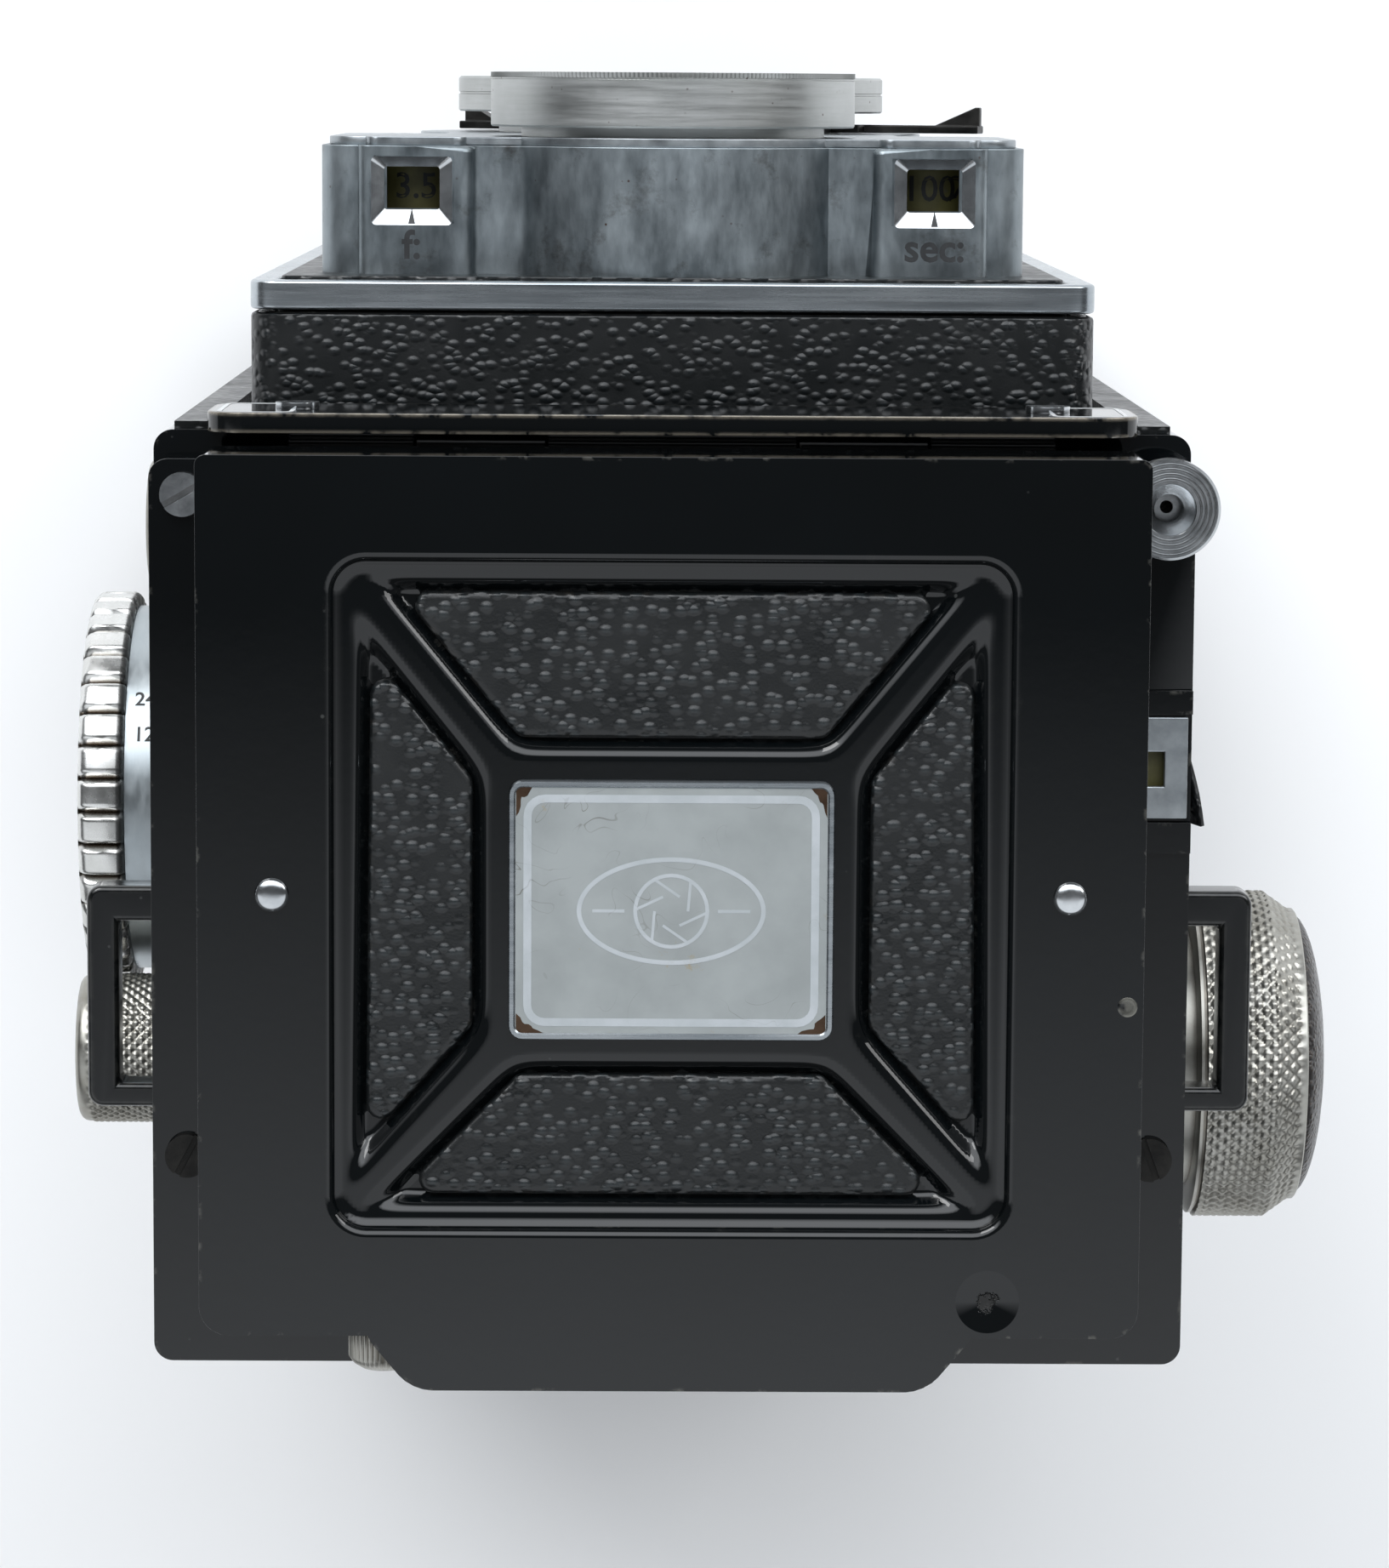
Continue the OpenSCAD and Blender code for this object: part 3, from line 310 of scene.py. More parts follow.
# Polished chrome strip: long bright streaks
TRIM = plated("polished_chrome_trim", "#b9bfc3", "#9ba2a7", 0.26, (0.1, 3, 0.1), grain=0.2, relief=0.1)
# Nickel with a diamond knurl: bright points, dirt in the grooves
KNURLED = plated("knurled_nickel", "#b4b3ad", "#918f87", 0.36, groove=0.6, relief=0.15)
# Polished chrome: sharp highlights with grime in the corners
CHROME = plated("polished_chrome", "#cfd2d4", "#b0b4b7", 0.18, grain=0.3, relief=0.08, groove=0.5)
# Chrome on the ribbed rim: white pads and brown grooves
RIB_CHROME = plated("ribbed_chrome", "#e0e0de", "#c2c2be", 0.26, groove=1.0, relief=0.1, rust=0.2)
# Satin chrome on the drum: bluish, drawn round the axis
DRUM = plated("satin_chrome_drum", "#b4bbbe", "#a0a8ac", 0.34, (3, 1, 1), relief=0.1)
# Machined steel: grey, with the cutter's lines
STEEL = plated("machined_steel", "#a9aaab", "#7d7e80", 0.3, (1, 3, 1), rust=0.1)
# Chemically blackened steel: dark, with a dull shine
BLACK_STEEL = plated("blackened_steel", "#3c3b39", "#232323", 0.4, relief=0.4)
# Bare brass gone brown where the plating has worn through
BRASS = plated("worn_brass", "#5c4a3d", "#43352b", 0.4, stain=0.3)
# Surface-silvered glass: a clean mirror
SILVERED = plated("silvered_glass", "#e6e8ea", "#dfe2e4", 0.02, relief=0.02)
# Black paint of the engraved and printed figures
FIGURES = lacquer("figure_black", "#17181a", "#26282a", 0.5)
# Old olive enamel on the dials: dull and scratched
DIAL = lacquer("dial_enamel", "#6a6638", "#504d2c", 0.5, age=0.4)
# Grey lacquer on the badge: dulled, with hairline scratches
BADGE_FACE = lacquer("badge_lacquer", "#929797", "#868b8b", 0.45, blot=5.0, age=0.8, metallic=0.1)
# Pale paint of the badge's mark
BADGE_LINE = lacquer("badge_line_paint", "#a9aeb2", "#9ba1a4", 0.45, age=0.3)
# White paint of the name plate's border, part worn away
BORDER_LINE = lacquer("border_line_paint", "#c9cbcc", "#b1b3b4", 0.4, age=0.5)
# Coated lens glass: clear, with a faint violet bloom
GLASS = coated_glass("coated_glass", "#e8eef5", "#cdd6ee")
# Ground glass: frosted, so it glows softly
GROUND_GLASS = coated_glass("ground_glass", "#dfe3e4", "#c8cccd", 0.35)

# ---- shaping ----


def solid_of(node):
    """A CAD node's solids as a mesh whose flat faces are whole again."""
    bm = bmesh.new()
    bm.from_mesh(frame["nodes"][node].data)
    bmesh.ops.remove_doubles(bm, verts=bm.verts, dist=0.002 * MM)
    bmesh.ops.dissolve_limit(bm, angle_limit=math.radians(0.6), verts=bm.verts, edges=bm.edges)
    return bm


def round_edges(bm, width, steps=3, pick=None, sharp=35):
    """Rounds the edges sharper than sharp degrees. Pick chooses among them by their middle point."""
    chosen = [e for e in bm.edges if e.is_manifold and e.calc_face_angle(0) > math.radians(sharp)
              and (pick is None or pick((e.verts[0].co + e.verts[1].co) / 2 / MM))]
    bmesh.ops.bevel(bm, geom=chosen, offset=width * MM, segments=steps, profile=0.5, affect="EDGES",
                    clamp_overlap=True)
    return bm


def piece(name, bm, finish, node=None, body=None, smooth=32, stands_for=()):
    """Makes the mesh an object in its finish, which rides on its body and stands for its CAD nodes."""
    bmesh.ops.recalc_face_normals(bm, faces=bm.faces)
    mesh = bpy.data.meshes.new(name)
    bm.to_mesh(mesh)
    bm.free()
    made = bpy.data.objects.new(name, mesh)
    bpy.context.scene.collection.objects.link(made)
    for material in finish if isinstance(finish, (list, tuple)) else [finish]:
        mesh.materials.append(material)
    mesh.shade_smooth()
    mesh.set_sharp_from_angle(angle=math.radians(smooth))
    level = made.modifiers.new("flat_faces", "WEIGHTED_NORMAL")
    level.keep_sharp = True
    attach(made, body or BODY_OF[node])
    nodes = stands_for or ((node,) if node else ())
    if nodes:
        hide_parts(*nodes)
    return made


def span(first, last, steps):
    """Points from first to last, the last one left out."""
    return [tuple(a + (b - a) * i / steps for a, b in zip(first, last)) for i in range(steps)]


def lathe(bm, outline, turns, put, ripple=None, ring=False):
    """Turns an outline of (radius, distance) about an axis. Put gives the place of a point from its two
    offsets across the axis and its distance along it. Ripple changes the radius at each point."""
    rows = []
    for radius, along in outline:
        row = []
        for i in range(turns):
            angle = TAU * i / turns
            r = radius + (ripple(angle, radius, along) if ripple else 0)
            row.append(bm.verts.new(Vector(put(r * math.cos(angle), r * math.sin(angle), along)) * MM))
        rows.append(row)
    pairs = list(zip(rows, rows[1:])) + ([(rows[-1], rows[0])] if ring else [])
    for lower, upper in pairs:
        for i in range(turns):
            j = (i + 1) % turns
            bm.faces.new((lower[i], lower[j], upper[j], upper[i]))
    if not ring:
        bm.faces.new(rows[0])
        bm.faces.new(rows[-1])
    return rows


def diamonds(count, pitch, depth, low, high):
    """Ripple of a diamond knurl between two distances along the axis: crossed grooves count times round."""
    def ripple(angle, radius, along):
        if not low <= along <= high:
            return 0
        u, v = angle * count / TAU, (along - low) / pitch
        height = min(abs((u + v) % 1 * 2 - 1), abs((u - v) % 1 * 2 - 1))
        return depth * (min(height * 1.5, 1) - 1)
    return ripple


def rounded(points, radius, steps=5):
    """The corner points of a convex outline, each corner turned into an arc of the given radius."""
    outline = []
    for i, here in enumerate(points):
        a, b = Vector(points[i - 1]) - Vector(here), Vector(points[(i + 1) % len(points)]) - Vector(here)
        half = a.angle(b) / 2
        reach = min(radius / math.tan(half), 0.48 * a.length, 0.48 * b.length)
        r = reach * math.tan(half)
        centre = Vector(here) + (a.normalized() + b.normalized()).normalized() * (r / math.sin(half))
        p, q = Vector(here) + a.normalized() * reach - centre, Vector(here) + b.normalized() * reach - centre
        turn = math.atan2(p.x * q.y - p.y * q.x, p.dot(q))
        for k in range(steps + 1):
            outline.append(centre + Matrix.Rotation(turn * k / steps, 2) @ p)
    return outline


def inset(outline, amount):
    """An outline of close points, moved inwards."""
    count = len(outline)
    area = sum(a.x * b.y - b.x * a.y for a, b in zip(outline, outline[1:] + outline[:1]))
    turn = math.copysign(1, area)
    moved = []
    for i, here in enumerate(outline):
        along = (outline[(i + 1) % count] - outline[i - 1]).normalized()
        moved.append(here + Vector((-along.y, along.x)) * turn * amount)
    return moved


def slab(bm, outline, levels):
    """Stacks an outline at (inset, height) levels into a closed pad whose top may be rounded."""
    rows = [[bm.verts.new(Vector((p.x, p.y, z)) * MM) for p in inset(outline, d)] for d, z in levels]
    for lower, upper in zip(rows, rows[1:]):
        for i in range(len(outline)):
            j = (i + 1) % len(outline)
            bm.faces.new((lower[i], lower[j], upper[j], upper[i]))
    bm.faces.new(rows[0])
    bm.faces.new(rows[-1])


def strip(bm, path, half_width, low, high, put, closed=True):
    """A flat line of paint or metal along a path of 2-D points."""
    count = len(path)
    rows = []
    for i, here in enumerate(path):
        back = path[i - 1] if closed or i else here
        on = path[(i + 1) % count] if closed or i < count - 1 else here
        along = (Vector(on) - Vector(back)).normalized()
        side = Vector((-along.y, along.x)) * half_width
        corners = [(Vector(here) + side, low), (Vector(here) - side, low), (Vector(here) - side, high),
                   (Vector(here) + side, high)]
        rows.append([bm.verts.new(Vector(put(p.x, p.y, h)) * MM) for p, h in corners])
    for i in range(count if closed else count - 1):
        a, b = rows[i], rows[(i + 1) % count]
        for k in range(4):
            bm.faces.new((a[k], a[(k + 1) % 4], b[(k + 1) % 4], b[k]))
    if not closed:
        bm.faces.new(rows[0])
        bm.faces.new(rows[-1])


def figures(bm, text, height, put, depth=0.03, bold=0.03):
    """Adds figures to a mesh as thin raised shapes. Put gives the place of a point from its distance to the
    right of the text's middle, its distance above the middle, and its height off the surface."""
    curve = bpy.data.curves.new("figures", "FONT")
    curve.body = text
    curve.size = height * 1.38
    curve.align_x, curve.align_y = "CENTER", "CENTER"
    curve.extrude = depth / 2
    curve.offset = bold
    curve.resolution_u = 3
    holder = bpy.data.objects.new("figures", curve)
    bpy.context.scene.collection.objects.link(holder)
    shape = bpy.data.meshes.new_from_object(holder.evaluated_get(bpy.context.evaluated_depsgraph_get()))
    part = bmesh.new()
    part.from_mesh(shape)
    bmesh.ops.remove_doubles(part, verts=part.verts, dist=0.0005)
    for v in part.verts:
        v.co = Vector(put(v.co.x, v.co.y, v.co.z)) * MM
    part.to_mesh(shape)
    part.free()
    bm.from_mesh(shape)
    bpy.data.objects.remove(holder)
    bpy.data.curves.remove(curve)
    bpy.data.meshes.remove(shape)


# ---- hood lid ----

LID_TOP = edges_of("hood_lid")[1].z
PANEL_LOW, PANEL_HIGH = edges_of("lid_panel")
RIM = 1.0
recess = (PANEL_LOW.x + RIM, PANEL_LOW.y + RIM, PANEL_HIGH.x - RIM, PANEL_HIGH.y - RIM)
FLOOR_Z = PANEL_LOW.z + 0.9
rivet_high = edges_of("lid_rivets")[1]
RIVET_X, RIVET_Y = 29.8, -3.5
badge_low, badge_high = edges_of("lid_badge")

ROLL = 1.2
LIP = 0.75


def on_top(p):
    """True on the lid's top face, away from the rivet holes."""
    return abs(p.z - LID_TOP) < 0.02 and abs(abs(p.x) - RIVET_X) + abs(p.y - RIVET_Y) > 2


def in_window(p):
    """True on the lip of the lid's window."""
    return on_top(p) and abs(p.x) < PANEL_HIGH.x and PANEL_LOW.y < p.y < PANEL_HIGH.y


lid = solid_of("hood_lid")
round_edges(lid, 1.5, 4, lambda p: p.y > 34.0 and abs(abs(p.x) - 19.4) < 0.1, sharp=20)
round_edges(lid, LIP, 5, in_window)
round_edges(lid, ROLL, 6, lambda p: on_top(p) and not in_window(p) and p.y < 30.0)
round_edges(lid, 0.5, 4, lambda p: on_top(p) and p.y > 30.0)
piece("lid_shell", lid, LID_ENAMEL, "hood_lid")

INSERTS = [[(-20.2, -26.0), (20.2, -26.0), (11.4, -15.3), (-11.4, -15.3)],
           [(-11.4, 10.4), (11.4, 10.4), (20.2, 19.4), (-20.2, 19.4)],
           [(15.0, -12.0), (22.4, -21.2), (22.8, 15.4), (15.0, 6.6)],
           [(-22.4, -21.2), (-15.0, -12.0), (-15.0, 6.6), (-22.8, 15.4)]]
POCKET_GAP = 0.3
POCKET_WALL = 1.3
POCKET_SOFTNESS = 2.2
LARGEST_POWER = 60
WINDOW_CORNER = 2.4
PRESSING_LAP = 0.4
FRAME_Z = badge_low.z


def from_pocket(x, y, corners):
    """Distance outside a pocket with soft corners, below zero inside it."""
    total = 0
    for i, (ax, ay) in enumerate(corners):
        bx, by = corners[(i + 1) % len(corners)]
        off = ((x - ax) * (by - ay) - (y - ay) * (bx - ax)) / math.hypot(bx - ax, by - ay)
        total += math.exp(min(POCKET_SOFTNESS * off, LARGEST_POWER))
    return math.log(total) / POCKET_SOFTNESS - POCKET_GAP


def from_rectangle(x, y, box, radius):
    """Distance outside a rectangle with round corners."""
    dx = abs(x - (box[0] + box[2]) / 2) - (box[2] - box[0]) / 2 + radius
    dy = abs(y - (box[1] + box[3]) / 2) - (box[3] - box[1]) / 2 + radius
    return math.hypot(max(dx, 0), max(dy, 0)) + min(max(dx, dy), 0) - radius


def pressing_height(x, y):
    """Height of the pressed panel: a smooth frame round four pockets, turned up at the lid's window."""
    near = max(min(from_pocket(x, y, corners) for corners in INSERTS), 0)
    fall = (1 - min(near / POCKET_WALL, 1)) ** 2.3
    up = 1 - min(max(-from_rectangle(x, y, recess, WINDOW_CORNER) / 0.8, 0), 1)
    return FRAME_Z - (FRAME_Z - FLOOR_Z) * fall + 0.35 * up * up


STEP = 0.3
pressing = bmesh.new()
wide_x = recess[2] - recess[0] + 2 * PRESSING_LAP
wide_y = recess[3] - recess[1] + 2 * PRESSING_LAP
nx = round(wide_x / STEP)
ny = round(wide_y / STEP)
grid = []
for j in range(ny + 1):
    row = []
    for i in range(nx + 1):
        x = recess[0] - PRESSING_LAP + wide_x * i / nx
        y = recess[1] - PRESSING_LAP + wide_y * j / ny
        row.append(pressing.verts.new(Vector((x, y, pressing_height(x, y))) * MM))
    grid.append(row)
for j in range(ny):
    for i in range(nx):
        pressing.faces.new((grid[j][i], grid[j][i + 1], grid[j + 1][i + 1], grid[j + 1][i]))
panel = piece("lid_pressing", pressing, ENAMEL, "lid_panel", smooth=80)
thick = panel.modifiers.new("sheet", "SOLIDIFY")
thick.thickness = 0.8 * MM
thick.offset = -1

inserts = bmesh.new()
for corners in INSERTS:
    outline = rounded([Vector(c) for c in corners], 1.0)
    slab(inserts, outline, [(-0.1, FLOOR_Z - 0.1), (-0.12, FLOOR_Z + 0.4), (0.0, FLOOR_Z + 0.62),
                            (0.2, FLOOR_Z + 0.74), (0.6, FLOOR_Z + 0.8)])
piece("lid_leather_inserts", inserts, INSERT_LEATHER, "lid_leather", smooth=60)

# Painted shade: the lid's small pin hole is a black enamel disc that stands in for the dark, shaded inside
# of the hole, not a hole cut in the sheet
hole_shade_disc = bmesh.new()
lathe(hole_shade_disc, [(0.75, LID_TOP - 0.3), (0.75, LID_TOP), (0.62, LID_TOP + 0.035), (0.5, LID_TOP + 0.01),
            (0.3, LID_TOP + 0.002)], 32, lambda a, b, h: (-34.2 + a, 4.7 + b, h))
piece("lid_hole_painted_shade", hole_shade_disc, RUBBED_ENAMEL, body=BODY_OF["hood_lid"], smooth=60)

badge = bmesh.new()
plate = rounded([Vector((badge_low.x, badge_low.y)), Vector((badge_high.x, badge_low.y)),
                 Vector((badge_high.x, badge_high.y)), Vector((badge_low.x, badge_high.y))], 1.1)
face_z = badge_high.z - 0.12
slab(badge, plate, [(0.0, badge_low.z), (0.0, badge_high.z - 0.2), (0.12, badge_high.z),
                    (0.42, badge_high.z), (0.55, face_z)])
badge.faces.ensure_lookup_table()
badge.faces[-1].material_index = 1
piece("lid_badge_plate", badge, [TRIM, BADGE_FACE], "lid_badge")

badge_mid = ((badge_low.x + badge_high.x) / 2, (badge_low.y + badge_high.y) / 2)


def on_badge(x, y, h):
    """A point of the badge's printed mark."""
    return badge_mid[0] + x, badge_mid[1] + y, face_z + h


mark = bmesh.new()
oval = [(6.9 * math.cos(TAU * i / 64), 3.9 * math.sin(TAU * i / 64)) for i in range(64)]
strip(mark, oval, 0.17, -0.02, 0.015, on_badge)
circle = [(2.7 * math.cos(TAU * i / 40), 2.7 * math.sin(TAU * i / 40)) for i in range(40)]
strip(mark, circle, 0.14, -0.02, 0.015, on_badge)
for k in range(6):
    a = TAU * k / 6
    blade = [(1.25 * math.cos(a), 1.25 * math.sin(a)), (2.65 * math.cos(a + 1.0), 2.65 * math.sin(a + 1.0))]
    strip(mark, blade, 0.1, -0.02, 0.012, on_badge, closed=False)
for sx in (-1, 1):
    strip(mark, [(sx * 3.5, 0), (sx * 5.9, 0)], 0.12, -0.02, 0.012, on_badge, closed=False)
QUARTERS = ((-1, -1), (1, -1), (1, 1), (-1, 1))
frame_line = rounded([Vector((sx * 10.75, sy * 8.45)) for sx, sy in QUARTERS], 1.3)
strip(mark, [(p.x, p.y) for p in frame_line], 0.3, -0.02, 0.015, on_badge)
piece("lid_badge_mark", mark, BADGE_LINE, body=BODY_OF["lid_badge"])

brassing = bmesh.new()
for sx in (-1, 1):
    for sy in (-1, 1):
        long, wide = (2.1, 1.5) if sy > 0 else (1.2, 2.2)
        wedge = []
        for i in range(9):
            turn = math.radians(90 * i / 8)
            wobble = 0.85 + 0.2 * math.sin(5 * i + 2 * sx + sy)
            bow = 0.52 * wobble * math.sin(2 * turn)
            across = long * math.cos(turn) * (1 - bow)
            down = wide * math.sin(turn) * (1 - bow)
            wedge.append((sx * (11.6 - across), sy * (9.3 - down)))
        wedge.append((sx * 11.6, sy * 9.3))
        points = [brassing.verts.new(Vector(on_badge(x, y, 0.012)) * MM) for x, y in wedge]
        top = brassing.faces.new(points)
        lifted = bmesh.ops.extrude_face_region(brassing, geom=[top])["geom"]
        sunk = [v for v in lifted if isinstance(v, bmesh.types.BMVert)]
        bmesh.ops.translate(brassing, verts=sunk, vec=Vector((0, 0, -0.02)) * MM)
piece("lid_badge_bare_corners", brassing, BRASS, body=BODY_OF["lid_badge"])

rivets = bmesh.new()
rivet_r = rivet_high.x - RIVET_X
for side in (-1, 1):
    dome = [(0.6, LID_TOP - 0.9), (0.6, LID_TOP), (rivet_r, LID_TOP), (rivet_r, LID_TOP + 0.1),
            (rivet_r * 0.93, LID_TOP + 0.27), (rivet_r * 0.75, LID_TOP + 0.41),
            (rivet_r * 0.45, LID_TOP + 0.48), (0.12, rivet_high.z)]
    lathe(rivets, dome, 40, lambda a, b, h, side=side: (side * RIVET_X + a, RIVET_Y + b, h))
piece("lid_rivet_heads", rivets, CHROME, "lid_rivets", smooth=60)

# ---- body, top plate and their fittings ----

casting = solid_of("body_casting")
round_edges(casting, 0.3, 2, lambda p: p.z > 107.5 and (abs(p.x) > 39.3 or abs(p.y) > 33.4) and p.y < 33.0)
piece("body_shell", casting, ENAMEL, "body_casting")

cover = solid_of("top_plate")
round_edges(cover, 0.55, 4, lambda p: abs(p.z - 118) < 0.05 and
            (abs(p.x) > 39.5 or p.y > 34.9 or p.y < -34.5))
round_edges(cover, 0.3, 3, lambda p: p.z > 118.3)
piece("top_cover", cover, ENAMEL, "top_plate")

nameplate = round_edges(solid_of("name_plate"), 0.16, 2)
piece("name_plate_blank", nameplate, PLATE_ENAMEL, "name_plate")
name_low, name_high = edges_of("name_plate")
border = bmesh.new()
mid_z = (name_low.z + name_high.z) / 2
half_x, half_z = (name_high.x - name_low.x) / 2 - 1.0, (name_high.z - name_low.z) / 2 - 0.8
for start_x, end_x in ((-half_x, -half_x + 5.5), (half_x - 5.5, half_x)):
    path = rounded([Vector((start_x, -half_z)), Vector((end_x, -half_z)), Vector((end_x, half_z)),
                    Vector((start_x, half_z))], 1.0)
    strip(border, [(p.x, p.y) for p in path], 0.17, -0.02, 0.03,
          lambda x, y, h: (x, name_low.y - h, mid_z + y))
piece("name_plate_border", border, BORDER_LINE, body="camera_body")

screws = solid_of("screws")
for x, y, turn_deg in ((37.5, -32.3, 30), (37.4, 19.1, 62), (-37.4, 19.1, 110)):
    turned = [v for v in screws.verts if math.hypot(v.co.x / MM - x, v.co.y / MM - y) < 2]
    bmesh.ops.rotate(screws, verts=turned, cent=Vector((x, y, 0)) * MM,
                     matrix=Matrix.Rotation(math.radians(turn_deg), 3, "Z"))
round_edges(screws, 0.14, 2, sharp=50)
for f in screws.faces:
    middle = f.calc_center_median() / MM
    f.material_index = 1 if middle.y > 10 else 0
piece("cover_screws", screws, [CHROME, BLACK_STEEL], "screws")
piece("strap_loops", round_edges(solid_of("strap_lugs"), 0.45, 3), RUBBED_ENAMEL, "strap_lugs")
piece("counter_cover", round_edges(solid_of("counter_plate"), 0.12, 2), SATIN, "counter_plate")

button_low, button_high = edges_of("release_button")
bx, by = (button_low.x + button_high.x) / 2, (button_low.y + button_high.y) / 2
top, radius = button_high.z, (button_high.x - button_low.x) / 2
outline = [(1.15, top - 3.2)]
for k in range(6):
    outline += [(1.3, top - 2.9 + 0.34 * k), (1.15, top - 2.73 + 0.34 * k)]
outline += [(1.35, top - 0.75), (1.85, top - 0.2), (1.95, top - 0.04), (2.0, top)]
for groove_r in (2.35, 2.72, 3.09, 3.46):
    outline += [(groove_r - 0.1, top), (groove_r - 0.03, top - 0.09)]
    outline += [(groove_r + 0.03, top - 0.09), (groove_r + 0.1, top)]
outline += [(radius - 0.2, top), (radius, top - 0.2), (radius, top - 2), (1.8, top - 2), (1.8, top - 4.2),
            (1.4, top - 4.2), (1.4, button_low.z), (0.5, button_low.z), (0.5, top - 3.2)]
button = bmesh.new()
lathe(button, outline, 72, lambda a, b, h: (bx + a, by + b, h), ring=True)
piece("release_plunger", button, CHROME, "release_button", smooth=25)

flap = bmesh.new()
curl = []
for i in range(9):
    row = []
    for j in range(6):
        u, v = i / 8, j / 5
        out = 2.0 * u ** 1.3 * v ** 1.5 + 0.12 * math.sin(7 * u + 3 * v)
        y = -14.6 + 8.6 * u - 0.5 * v * math.sin(4 * u)
        row.append(flap.verts.new(Vector((-40.05 - out, y, 104.0 + (3.9 + 0.4 * math.sin(9 * u)) * v)) * MM))
    curl.append(row)
for i in range(8):
    for j in range(5):
        flap.faces.new((curl[i][j], curl[i + 1][j], curl[i + 1][j + 1], curl[i][j + 1]))
torn = piece("lifted_leather_edge", flap, LEATHER, body="camera_body", smooth=80)
skin = torn.modifiers.new("skin", "SOLIDIFY")
skin.thickness = 0.35 * MM

# ---- knobs ----

wind_low, wind_high = edges_of("wind_knob")
wind_y, wind_z = (wind_low.y + wind_high.y) / 2, (wind_low.z + wind_high.z) / 2
wind_r = (wind_high.y - wind_low.y) / 2
inner, outer = -wind_high.x, -wind_low.x
knurl_in, knurl_out, chamfer_out = 44.5, 50.3, 52.35
outline = [(3.0, inner), (11.0, inner), (11.0, 43.8), (wind_r - 0.9, 43.8), (wind_r - 0.3, 43.95),
           (wind_r - 0.3, 44.2), (wind_r - 0.6, 44.25), (wind_r - 0.6, 44.45)]
outline += span((wind_r, knurl_in), (wind_r, knurl_out), 40)
outline += span((wind_r, knurl_out), (wind_r - 1.45, chamfer_out), 16)
outline += [(wind_r - 1.5, chamfer_out + 0.1), (wind_r - 1.5, 52.8), (wind_r - 1.6, outer), (12.0, outer),
            (12.0, 52.3), (4.0, 52.2), (3.0, 50.0)]
knob = bmesh.new()
lathe(knob, outline, 504, lambda a, b, h: (-h, wind_y + a, wind_z + b),
      diamonds(72, 1.2, 0.24, knurl_in, chamfer_out), ring=True)
piece("wind_knob_knurled", knob, KNURLED, "wind_knob", smooth=40)

cap_low, cap_high = edges_of("wind_knob_cap")
cap_r = (cap_high.y - cap_low.y) / 2
cap = bmesh.new()
apex = -cap_low.x
dome = [(cap_r - 0.05, 52.25), (cap_r, 52.6)]
for i in range(1, 11):
    t = math.radians(8 * i)
    dome.append((cap_r * math.cos(t), 52.7 + (apex - 52.7) * math.sin(t)))
lathe(cap, dome + [(0.3, apex)], 96, lambda a, b, h: (-h, wind_y + a, wind_z + b))
piece("wind_knob_leather_cap", cap, CAP_LEATHER, "wind_knob_cap", smooth=60)

for node, title in (("takeup_pull_knob", "takeup_knob_knurled"),
                    ("supply_pull_knob", "supply_knob_knurled")):
    low, high = edges_of(node)
    y, z, r = (low.y + high.y) / 2, (low.z + high.z) / 2, (high.y - low.y) / 2
    outline = [(2.5, low.x), (2.5, 36.2), (3.0, 36.2), (3.0, 40.3), (4.2, 40.3), (4.2, 41.8),
               (r - 0.4, 41.8), (r - 0.1, 42.1), (r - 0.1, 42.4)]
    outline += span((r, 42.5), (r, 48.4), 46)
    outline += [(r - 0.1, 48.45), (r - 0.1, 48.7)] + [(r - 0.9 + 0.8 * math.cos(t), 48.7 + 0.8 * math.sin(t))
                                                      for t in (0.4, 0.8, 1.2, 1.5)]
    outline += [(2.0, high.x), (0.6, high.x)]
    pull = bmesh.new()
    lathe(pull, outline, 330, lambda a, b, h, y=y, z=z: (h, y + a, z + b),
          diamonds(42, 0.95, 0.2, 42.5, 48.35))
    piece(title, pull, KNURLED, node, smooth=40)

focus_low, focus_high = edges_of("focus_knob")
fy, fz = (focus_low.y + focus_high.y) / 2, (focus_low.z + focus_high.z) / 2
focus_r, drum_r = (focus_high.y - focus_low.y) / 2, (focus_high.y - focus_low.y) / 2 - 1.2
RIBS = 36


def pads(angle, radius, along):
    """Ripple of the broad flat pads round the rim, with narrow grooves between them."""
    if radius < drum_r + 0.5:
        return 0
    across = abs(angle * RIBS / TAU % 1 - 0.5) * 2
    drop = max(0, (across - 0.70) / 0.30)
    flat = focus_r * (1 - math.cos(math.pi / RIBS)) * (1 - across ** 2) * 0.6
    return -0.75 * min(1, drop ** 0.7) - flat * 0.3


IN, OUT = 45.4, focus_high.x
rim = [(focus_r - 1.1, IN), (focus_r - 0.35, IN + 0.05), (focus_r - 0.08, IN + 0.3), (focus_r, IN + 0.6),
       (focus_r, IN + 1.7), (focus_r, OUT - 0.9), (focus_r - 0.12, OUT - 0.5), (focus_r - 0.45, OUT - 0.15),
       (focus_r - 1.0, OUT)]
outline = [(3.0, 40.3), (drum_r - 0.3, 40.3), (drum_r, 40.6), (drum_r, 42.0), (drum_r, 44.0),
           (drum_r, IN - 0.05)]
outline += rim + [(focus_r - 2.2, OUT), (9.0, OUT), (8.7, OUT - 0.3), (3.0, OUT - 0.3), (3.0, 47.0)]
focus = bmesh.new()
lathe(focus, outline, RIBS * 14, lambda a, b, h: (h, fy + a, fz + b), pads, ring=True)
for f in focus.faces:
    f.material_index = 1 if f.calc_center_median().x / MM < IN - 0.02 else 0
piece("focus_knob_ribbed", focus, [RIB_CHROME, DRUM], "focus_knob", smooth=40)

